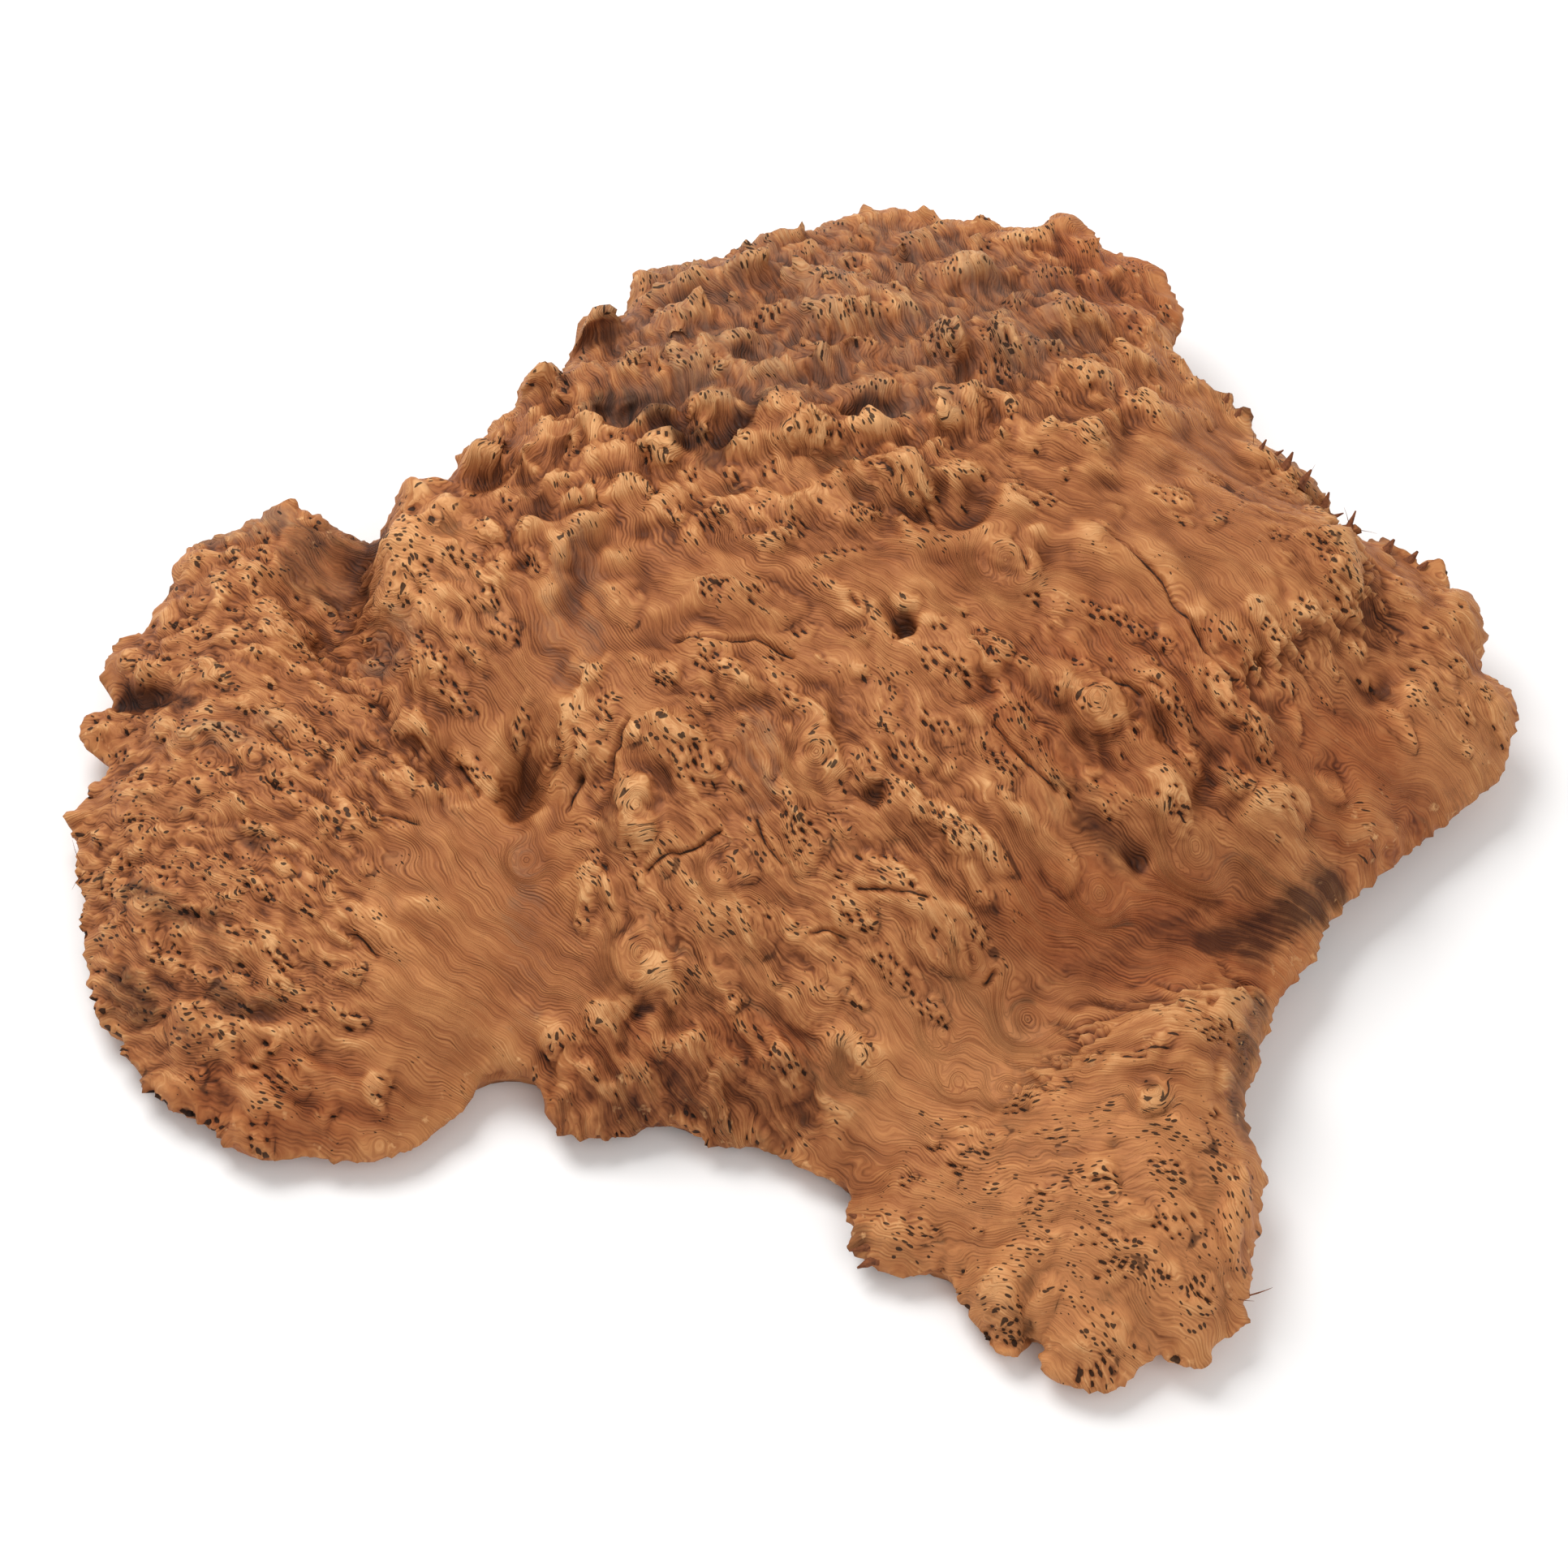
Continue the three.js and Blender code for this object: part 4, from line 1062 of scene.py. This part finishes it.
def shapeBurl(mesh):
    guides = layGrain(mesh)
    splitSkin(mesh)
    mounds = placeMounds(guides)
    rings = skinPlaces(knots)
    crackLines = [skinPlaces(seen) for seen in cracks["lines"].values()]
    holeGrain, holeTree = prickSkin(mesh, placePinholes(mounds, rings), crackLines)

    points, edges, triangles = meshArrays(mesh)
    normals = vertexNormals(points, triangles)
    held = points[:, 2] < onFace
    facing = np.clip(relief["facing"] * normals[:, 2], 0, 1)
    rim = np.clip(relief["rimStart"] - relief["facing"] * normals[:, 2], 0, 1)
    rim = blurred(rim, edges, relief["rimPasses"])
    plain = 1 - strongest(points, relief["plainOvals"])
    fluting = np.maximum(strongest(points, relief["flutedOvals"]), relief["plainDepth"]) * plain

    across, along = layerValues(mesh, "across"), layerValues(mesh, "along")
    throw, size = relief["strayAcross"]
    u = across + throw * lumpNoise(points, size, patterns["strayAcross"])
    throw, size = relief["strayAlong"]
    v = along + throw * lumpNoise(points, size)
    mound, foot, fingers = splitMounds(points, u, v, mounds)
    mound = mound * facing
    lift = mound - moundFields["footDepth"] * facing * bell(foot, moundFields["footWidth"])
    lift = tearEdge(points, normals, lift + waveSkin(points, u, v, plain, fluting))
    gap, pastEnd = crackGap(points, crackLines)
    eyeDepth, eye = sinkEyes(points)
    hollow = sinkHollows(points)
    sunk = cracks["depth"] * bell(gap, cracks["furrow"]) + sinkGrooves(points) + eyeDepth + hollow
    lift += (raiseLips(points, fingers) - sunk) * facing
    depth, pit = sinkPinholes(points, across, along, holeGrain, holeTree)
    points = points + normals * ((lift - depth) * ~held)[:, None]
    points = np.where(held[:, None], points, trimKnobs(points, edges))
    points[:, 2] = np.where(held, points[:, 2], np.maximum(points[:, 2], relief["floorGap"]))
    mesh.vertices.foreach_set("co", (points * mm).ravel())

    normals = vertexNormals(points, triangles)
    layers = {
        "flow": ringKnots(points, across + grain["moundWarp"] * mound, rings),
        "along": along,
        "pit": pit,
        "crack": np.clip(gap, -cracks["farthest"], cracks["farthest"]),
        "crackEnd": np.minimum(pastEnd, cracks["farthest"]),
        "foot": foot,
        "rim": rim,
        "eye": eye,
        "fluting": fluting,
        "porous": strongest(points, relief["porousOvals"]) * plain,
        **stainAndShadeLayers(points, rim, hollow),
    }
    # relief that the tone follows: partly painted shade in hollows and painted highlight on tops
    for name, (radius, full) in relief["rises"].items():
        layers[name] = np.clip(moundRise(points, edges, normals, radius) / full, -1, 1)
    for name, values in layers.items():
        setLayer(mesh, name, values)
    mesh.shade_smooth()
    print("burl shaped:", len(mesh.polygons), "triangles")
    return layers.keys()


def linear(colour):
    channels = [int(colour[k:k + 2], 16) / 255 for k in (1, 3, 5)]
    return [c / 12.92 if c <= 0.04045 else ((c + 0.055) / 1.055) ** 2.4 for c in channels] + [1]


def addNode(tree, kind, sockets=None, stops=None, **settings):
    node = tree.nodes.new(kind)
    for name, value in settings.items():
        setattr(node, name, value)
    for name, value in (sockets or {}).items():
        if isinstance(value, bpy.types.NodeSocket):
            tree.links.new(value, node.inputs[name])
        else:
            node.inputs[name].default_value = value
    for place, colour in stops or []:
        stop = node.color_ramp.elements.new(place)
        stop.color = linear(colour)
    if stops:
        for spare in (0, -1):
            node.color_ramp.elements.remove(node.color_ramp.elements[spare])
    return node


def newMaterial(name, **inputs):
    material = bpy.data.materials.new(name)
    material.use_nodes = True
    shader = material.node_tree.nodes["Principled BSDF"]
    for socket, value in inputs.items():
        shader.inputs[socket].default_value = value
    return material, material.node_tree, shader


# Wood colours and how each trait of the skin moves them, sizes in millimetres
burlWood = {
    "tones": {  # from the deepest creases to the palest bud tops; the relief picks among them partly as painted shade and painted highlight
        "creases": (0.02, "#361808"),
        "hollows": (0.24, "#6c391b"),
        "faces": (0.47, "#9e5f36"),
        "mounds": (0.7, "#bc7d4b"),
        "tips": (0.95, "#e0a871"),
    },
    "tone": 0.535,
    "toneBy": {
        # ridge and mound: what stands out paler, hollows darker; partly the wood's own tone, partly painted
        # shade in the hollows and painted highlight on the tops
        "ridge": 0.15,
        "mound": 0.16,
        "fibres": 0.7,
        "streaks": 0.55,
        "lines": -0.13,
        "blotches": 0.42,
        "rim": -0.42,
    },
    "stainsAndShade": {  # colour, most of it, and whether it covers or shades; dark holds real stains with painted shade
        "red": ("#e0b496", 0.6, "MULTIPLY"),
        "pale": ("#e29f66", 0.4, "MIX"),
        "grey": ("#655348", 0.55, "MIX"),
        "dark": ("#5f4e44", 0.85, "MULTIPLY"),
    },
    "stainGain": 1.3,
    "ragged": -0.45,  # a stain's edge, and what frays it
    "raggedBy": {"fibres": 1.2, "edges": 1.4, "trails": 2.2},
    "stainEdge": 14,
    "stainWidth": 4.5,
    "stainLength": 40,
    "fibreWidth": 0.75,
    "fibreLength": 30,
    "lineSpacing": 1.5,
    "lineSharpness": 2,  # thin dark lines on paler wood
    "linePatches": (3, 0.75),
    "figureSize": 30,  # width of the wavy figure in the grain, and how far it throws the lines
    "figureThrow": 28,
    "calmThrow": 11.2,
    "rippleSize": 9,
    "rippleThrow": 4,
    "streakWidth": 2.0,
    "streakLength": 13,
    "streakRest": 0.2,
    "blotch": 45,
    "noiseRoughness": 0.6,
    "poreSpacing": 2.5,
    "poreStretch": 2.4,
    "poreRoom": -0.13,  # half width of a pore in shares of the spacing, and what widens it
    "poreRoomBy": {"crowding": 1.05, "porous": 0.16, "mound": 0.3, "rim": -0.8},
    "poreMost": 0.25,
    "poreEdge": 22,
    "holes": "#170b05",
    "holeShare": 0.88,
    "crackWander": 1.6,
    "crackEdge": 3,
    "pitStart": 0.42,
    "pitEdge": 12,
    "rot": 0.75,
    # painted shade in the creases at the feet of the mounds' noses: width, edge and share
    "creaseShadeWidth": (4, 0.3),
    "creaseShadeEdge": 2.2,
    "creaseShadeShare": 0.7,
    # pale chips of wood on the mound tops, partly painted highlight: glints on the lit raised edges beside
    # the pores
    "chipSize": 7,
    "chipAndGlintStart": 0.13,
    "chipAndGlintEdge": 10,
    "chipAndGlintShare": 0.85,
    "heightBy": {"fibres": 0.8, "lines": -0.3, "streaks": 1.2, "pore": -1.2},
    "bumpStrength": 0.8,
    "bumpDepth": 0.9,
    "roughness": (0.25, 0.6),  # more on the fibres, and everywhere
    "ior": 1.45,
    "specular": 0.22,
}


def maths(tree, operation, *values, clamp=False):
    sockets = dict(enumerate(values))
    return addNode(tree, "ShaderNodeMath", sockets, operation=operation, use_clamp=clamp).outputs[0]


def weighed(tree, value, weight, base, clamp=False):
    return maths(tree, "MULTIPLY_ADD", value, weight, base, clamp=clamp)


def total(tree, traits, base, weights):
    # base and the traits named, each times its weight
    for name, weight in weights.items():
        base = weighed(tree, traits[name], weight, base)
    return base


def past(tree, value, start, gain):
    # 0 up to the start, rising to 1 beyond it
    return maths(tree, "MULTIPLY", maths(tree, "SUBTRACT", value, start), gain, clamp=True)


def tinted(tree, share, most, below, above, blend="MIX"):
    sockets = {0: maths(tree, "MULTIPLY", share, most), 6: below, 7: linear(above)}
    return addNode(tree, "ShaderNodeMix", sockets, data_type="RGBA", blend_type=blend).outputs[2]


def spread(tree, places, size, detail):
    # noise about zero with features of the size given
    sockets = {"Vector": places, "Scale": 1 / (size * mm), "Detail": detail}
    sockets["Roughness"] = burlWood["noiseRoughness"]
    return maths(tree, "SUBTRACT", addNode(tree, "ShaderNodeTexNoise", sockets).outputs[0], 0.5)


def grainPlace(tree, flow, along, stretch, pattern=0):
    # places across and along the grain, drawn out along it
    drawn = maths(tree, "MULTIPLY", along, mm / stretch)
    sockets = {0: maths(tree, "MULTIPLY", flow, mm), 1: drawn, 2: pattern}
    return addNode(tree, "ShaderNodeCombineXYZ", sockets).outputs[0]


def addFigure(tree, traits):
    # fibres, streaks and fine lines that follow the grain, blotches, and what frays the stains
    place, along, wood = traits["place"], traits["along"], burlWood
    figure = spread(tree, place, wood["figureSize"], 1)
    ripple = spread(tree, place, wood["rippleSize"], 1)
    calmFlow = weighed(tree, figure, wood["calmThrow"], traits["flow"])
    flow = weighed(tree, figure, wood["figureThrow"], traits["flow"])
    flow = weighed(tree, ripple, wood["rippleThrow"], flow)
    fibrePlace = grainPlace(tree, flow, along, wood["fibreLength"] / wood["fibreWidth"])
    streakPlace = grainPlace(tree, calmFlow, along, wood["streakLength"] / wood["streakWidth"], 1)
    stainPlace = grainPlace(tree, calmFlow, along, wood["stainLength"] / wood["stainWidth"], 2)
    streaks = spread(tree, streakPlace, wood["streakWidth"], 2)
    streaked = maths(tree, "ADD", traits["fluting"], wood["streakRest"])
    lines = maths(tree, "SINE", maths(tree, "MULTIPLY", flow, 2 * math.pi / wood["lineSpacing"]))
    lines = maths(tree, "POWER", weighed(tree, lines, 0.5, 0.5), wood["lineSharpness"])
    patches = spread(tree, place, wood["stainEdge"], 3)
    lined = weighed(tree, patches, *wood["linePatches"], clamp=True)
    traits.update({
        "fibres": spread(tree, fibrePlace, wood["fibreWidth"], 4),
        "streaks": maths(tree, "MULTIPLY", streaks, streaked),
        "lines": maths(tree, "MULTIPLY", lines, lined),
        "blotches": spread(tree, place, wood["blotch"], 5),
        "edges": spread(tree, place, wood["stainEdge"], 4),
        "trails": spread(tree, stainPlace, wood["stainWidth"], 3),
    })


def addHoles(tree, traits):
    # slit pores, and how far pores, cracks, pinholes and rotten eyes darken the wood
    place, wood = traits["place"], burlWood
    porePlace = grainPlace(tree, traits["flow"], traits["along"], wood["poreStretch"])
    sockets = {"Vector": porePlace, "Scale": 1 / (wood["poreSpacing"] * mm)}
    cells = addNode(tree, "ShaderNodeTexVoronoi", sockets, voronoi_dimensions="2D")
    traits["crowding"] = spread(tree, place, wood["chipSize"] * 2, 1)
    poreRoom = total(tree, traits, wood["poreRoom"], wood["poreRoomBy"])
    poreRoom = maths(tree, "MINIMUM", poreRoom, wood["poreMost"])
    traits["pore"] = past(tree, poreRoom, cells.outputs["Distance"], wood["poreEdge"])
    wander = spread(tree, place, wood["chipSize"], 2)
    opening = weighed(tree, wander, wood["crackWander"], cracks["halfWidth"])
    crackFar = maths(tree, "ADD", traits["crackEnd"], maths(tree, "ABSOLUTE", traits["crack"]))
    crack = past(tree, opening, crackFar, wood["crackEdge"])
    pit = past(tree, traits["pit"], wood["pitStart"], wood["pitEdge"])
    traits["holes"] = maths(tree, "MULTIPLY", traits["eye"], wood["rot"])
    for hole in (traits["pore"], crack, pit):
        traits["holes"] = maths(tree, "MAXIMUM", traits["holes"], hole)


def stainedAndShadedWood(tree, traits):
    # tones from creases to tips, partly painted shade and highlight from the relief, and the stains and
    # painted shade over them, ragged along the grain
    wood = burlWood
    tone = maths(tree, "ADD", total(tree, traits, wood["tone"], wood["toneBy"]), 0, clamp=True)
    colour = addNode(tree, "ShaderNodeValToRGB", {0: tone}, stops=wood["tones"].values()).outputs[0]
    ragged = total(tree, traits, wood["ragged"], wood["raggedBy"])
    for name, (tintColour, most, blend) in wood["stainsAndShade"].items():
        share = weighed(tree, traits[name], wood["stainGain"], ragged, clamp=True)
        colour = tinted(tree, share, most, colour, tintColour, blend)
    return colour


def burlWoodMaterial(layerNames):
    # coolibah burl, wire brushed and left bare: satin red-brown wood, fibres that swirl round dark bud eyes
    wood = burlWood
    look = {"IOR": wood["ior"], "Specular IOR Level": wood["specular"]}
    material, tree, shader = newMaterial("brushed coolibah burl", **look)
    place = addNode(tree, "ShaderNodeTexCoord").outputs["Object"]
    traits = {"place": place}
    for name in layerNames:
        traits[name] = addNode(tree, "ShaderNodeAttribute", attribute_name=name).outputs["Fac"]
    addFigure(tree, traits)
    addHoles(tree, traits)
    # pale chips on the mound tops, partly painted highlight on lit raised edges
    chipsAndGlints = past(tree, spread(tree, place, wood["chipSize"], 3), wood["chipAndGlintStart"], wood["chipAndGlintEdge"])
    chipsAndGlints = maths(tree, "MULTIPLY", chipsAndGlints, traits["mound"], clamp=True)
    # painted shade: dark lines in the creases at the feet of the mounds' noses, on their shaded front sides
    creaseShadeWidth = weighed(tree, spread(tree, place, wood["stainEdge"], 2), *wood["creaseShadeWidth"])
    creaseShade = past(tree, creaseShadeWidth, traits["foot"], wood["creaseShadeEdge"])
    colour = stainedAndShadedWood(tree, traits)
    colour = tinted(tree, chipsAndGlints, wood["chipAndGlintShare"], colour, wood["tones"]["tips"][1])
    colour = tinted(tree, creaseShade, wood["creaseShadeShare"], colour, wood["tones"]["creases"][1])
    colour = tinted(tree, traits["holes"], wood["holeShare"], colour, wood["holes"])

    sockets = {"Strength": wood["bumpStrength"], "Distance": wood["bumpDepth"] * mm}
    sockets["Height"] = total(tree, traits, 0, wood["heightBy"])
    bump = addNode(tree, "ShaderNodeBump", sockets).outputs[0]
    roughness = weighed(tree, traits["fibres"], *wood["roughness"])
    for name, value in (("Base Color", colour), ("Normal", bump), ("Roughness", roughness)):
        tree.links.new(value, shader.inputs[name])
    return material


# Wood of the sawn face and of the torn edge, sizes in millimetres
rawWood = {
    "specular": 0.25,
    "figure": {"Detail": 6, "Roughness": 0.65, "Distortion": 1.5},
    "stops": (0.3, 0.7),
    "sawn coolibah burl": {"colours": ("#7a4527", "#a96c40"), "size": 22, "stretch": 1, "roughness": 0.7},
    "torn coolibah edge": {"colours": ("#4c2614", "#8f5432"), "size": 3, "stretch": 3, "roughness": 0.8},
}


def rawWoodMaterial(name):
    # bare wood without a brushed face: swirling brown where the saw went, dark red fibres where it tore
    kind = rawWood[name]
    look = {"Roughness": kind["roughness"], "Specular IOR Level": rawWood["specular"]}
    material, tree, shader = newMaterial(name, **look)
    place = addNode(tree, "ShaderNodeTexCoord").outputs["Object"]
    drawOut = {"Vector": place, "Scale": (1, 1, 1 / kind["stretch"])}
    drawn = addNode(tree, "ShaderNodeMapping", drawOut).outputs[0]
    sockets = {"Vector": drawn, "Scale": 1 / (kind["size"] * mm), **rawWood["figure"]}
    figure = addNode(tree, "ShaderNodeTexNoise", sockets).outputs[0]
    stops = list(zip(rawWood["stops"], kind["colours"]))
    colour = addNode(tree, "ShaderNodeValToRGB", {0: figure}, stops=stops).outputs[0]
    tree.links.new(colour, shader.inputs["Base Color"])
    return material


def addBurl():
    layerNames = shapeBurl(burlMesh)
    burl = addObject("burl_cap_wood", burlMesh)
    burl.data.materials.append(burlWoodMaterial(layerNames))
    burl.data.materials.append(rawWoodMaterial("sawn coolibah burl"))
    points, _, triangles = meshArrays(burl.data)
    sawn = (points[triangles, 2].max(axis=1) < onFace).astype(np.int32)
    burl.data.polygons.foreach_set("material_index", sawn)
    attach(burl, "root")
    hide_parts("burl_cap")
    print("burl dressed")


addBurl()

# Splinters and torn fibres of the edge: across, down, direction where each leaves it, length, width, bend
splinters = {
    "seed": 23,
    "sunk": 5,  # length of each that stays in the wood
    "tip": 7,  # times a splinter is wider at its root than at its tip
    "cuts": 4,
    "unevenness": 0.12,
    "sides": {"torn": 7, "fibres": 5},
    "torn": [
        (1552, 556, 60, 6, 5, 0), (1586, 572, 65, 6, 6, 0), (1608, 590, 55, 5, 6, 0),
        (1632, 622, 70, 6, 6, 0), (1662, 650, 62, 8, 5, 0.1), (1710, 676, 55, 5, 8, 0),
        (1738, 690, 50, 5, 8, 0), (1750, 702, 45, 5, 7, 0), (1524, 512, 60, 4, 6, 0),
        (1510, 494, 65, 4, 5, 0), (1572, 560, 30, 4, 4, 0), (1645, 636, 20, 4, 4, 0),
        (1064, 1538, 190, 6, 5, 0), (1070, 1556, 205, 5, 6, 0), (1056, 1500, 160, 4, 5, 0),
    ],
    "fibres": [
        (1664, 652, 80, 9, 0.7, 0.5), (1668, 652, 20, 9, 0.6, -0.6), (1612, 588, 40, 6, 0.6, 0.4),
        (1545, 548, 75, 6, 0.6, 0.3), (100, 1068, 150, 9, 0.9, -0.9), (102, 1074, 200, 7, 0.8, 0.8),
        (1538, 1597, 8, 10, 1.2, 0.2), (1526, 1602, -20, 6, 0.8, 0.3), (590, 588, 110, 4, 1.2, 0.2),
    ],
}


def addSplinter(shape, draw, sides, root, turn, length, width, bend):
    right, up = Vector((1, 0, 0)), Vector(viewUp)
    heading = right * math.cos(turn) + up * math.sin(turn)
    aside = up * math.cos(turn) - right * math.sin(turn)
    full = length + splinters["sunk"]
    oldVerts, oldEdges = len(shape.verts), len(shape.edges)
    bmesh.ops.create_cone(
        shape, cap_ends=True, cap_tris=True, segments=sides,
        radius1=width / 2, radius2=width / 2 / splinters["tip"], depth=full,
    )
    shape.edges.ensure_lookup_table()
    long = [edge for edge in shape.edges[oldEdges:] if abs(edge.verts[0].co.z - edge.verts[1].co.z) > 1]
    bmesh.ops.subdivide_edges(shape, edges=long, cuts=splinters["cuts"], use_grid_fill=True)
    shape.verts.ensure_lookup_table()
    uneven = splinters["unevenness"]
    for vert in shape.verts[oldVerts:]:
        x, y, z = vert.co
        far = z / full + 0.5
        x += bend * length * far * far + draw.uniform(-uneven, uneven) * width * (1 - far)
        y += draw.uniform(-uneven, uneven) * width * (1 - far)
        place = heading * (far * full - splinters["sunk"]) + aside * x + heading.cross(aside) * y
        vert.co = root + place * mm


def addSplinters():
    draw = random.Random(splinters["seed"])
    shape = bmesh.new()
    for kind, sides in splinters["sides"].items():
        for across, down, turn, *form in splinters[kind]:
            root = sightHit(across, down)
            if root is None:
                print("off the burl:", across, down)
            else:
                addSplinter(shape, draw, sides, root, math.radians(turn), *form)
    bmesh.ops.triangulate(shape, faces=shape.faces)
    bmesh.ops.recalc_face_normals(shape, faces=shape.faces)
    mesh = bpy.data.meshes.new("edgeSplinters")
    shape.to_mesh(mesh)
    shape.free()
    mesh.materials.append(rawWoodMaterial("torn coolibah edge"))
    piece = addObject("edge_splinters", mesh)
    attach(piece, "root")
    print("splinters added:", len(mesh.polygons), "triangles")


addSplinters()

# Pale floor and soft studio light
studio = {
    "floorSize": 12000,
    "floorColour": "#f6f5f4",
    "floorRoughness": 0.9,
    "sky": 0.59,
    "panels": {
        "keyPanel": {"at": (-750, 950, 1900), "size": 1300, "power": 37},
        "frontPanel": {"at": (900, -1300, 1700), "size": 1600, "power": 12},
    },
}


def paperMaterial():
    # white paper: matt, and lit to plain white
    look = {"Base Color": linear(studio["floorColour"]), "Roughness": studio["floorRoughness"]}
    return newMaterial("white paper", **look)[0]


def addStudio():
    shape = bmesh.new()
    bmesh.ops.create_grid(shape, x_segments=1, y_segments=1, size=studio["floorSize"] * mm / 2)
    mesh = bpy.data.meshes.new("paperFloor")
    shape.to_mesh(mesh)
    shape.free()
    mesh.materials.append(paperMaterial())
    floor = addObject("paperFloor", mesh)

    sky = bpy.data.worlds.new("studioSky")
    sky.use_nodes = True
    sky.node_tree.nodes["Background"].inputs["Color"].default_value = (1, 1, 1, 1)
    sky.node_tree.nodes["Background"].inputs["Strength"].default_value = studio["sky"]
    bpy.context.scene.world = sky
    for name, panel in studio["panels"].items():
        light = bpy.data.lights.new(name, "AREA")
        light.size = panel["size"] * mm
        light.energy = panel["power"]
        lamp = addObject(name, light)
        lamp.location = Vector(panel["at"]) * mm
        lamp.rotation_euler = (-lamp.location).to_track_quat("-Z", "Y").to_euler()
    bpy.context.scene.view_settings.view_transform = "Standard"
    print("studio lit")


addStudio()
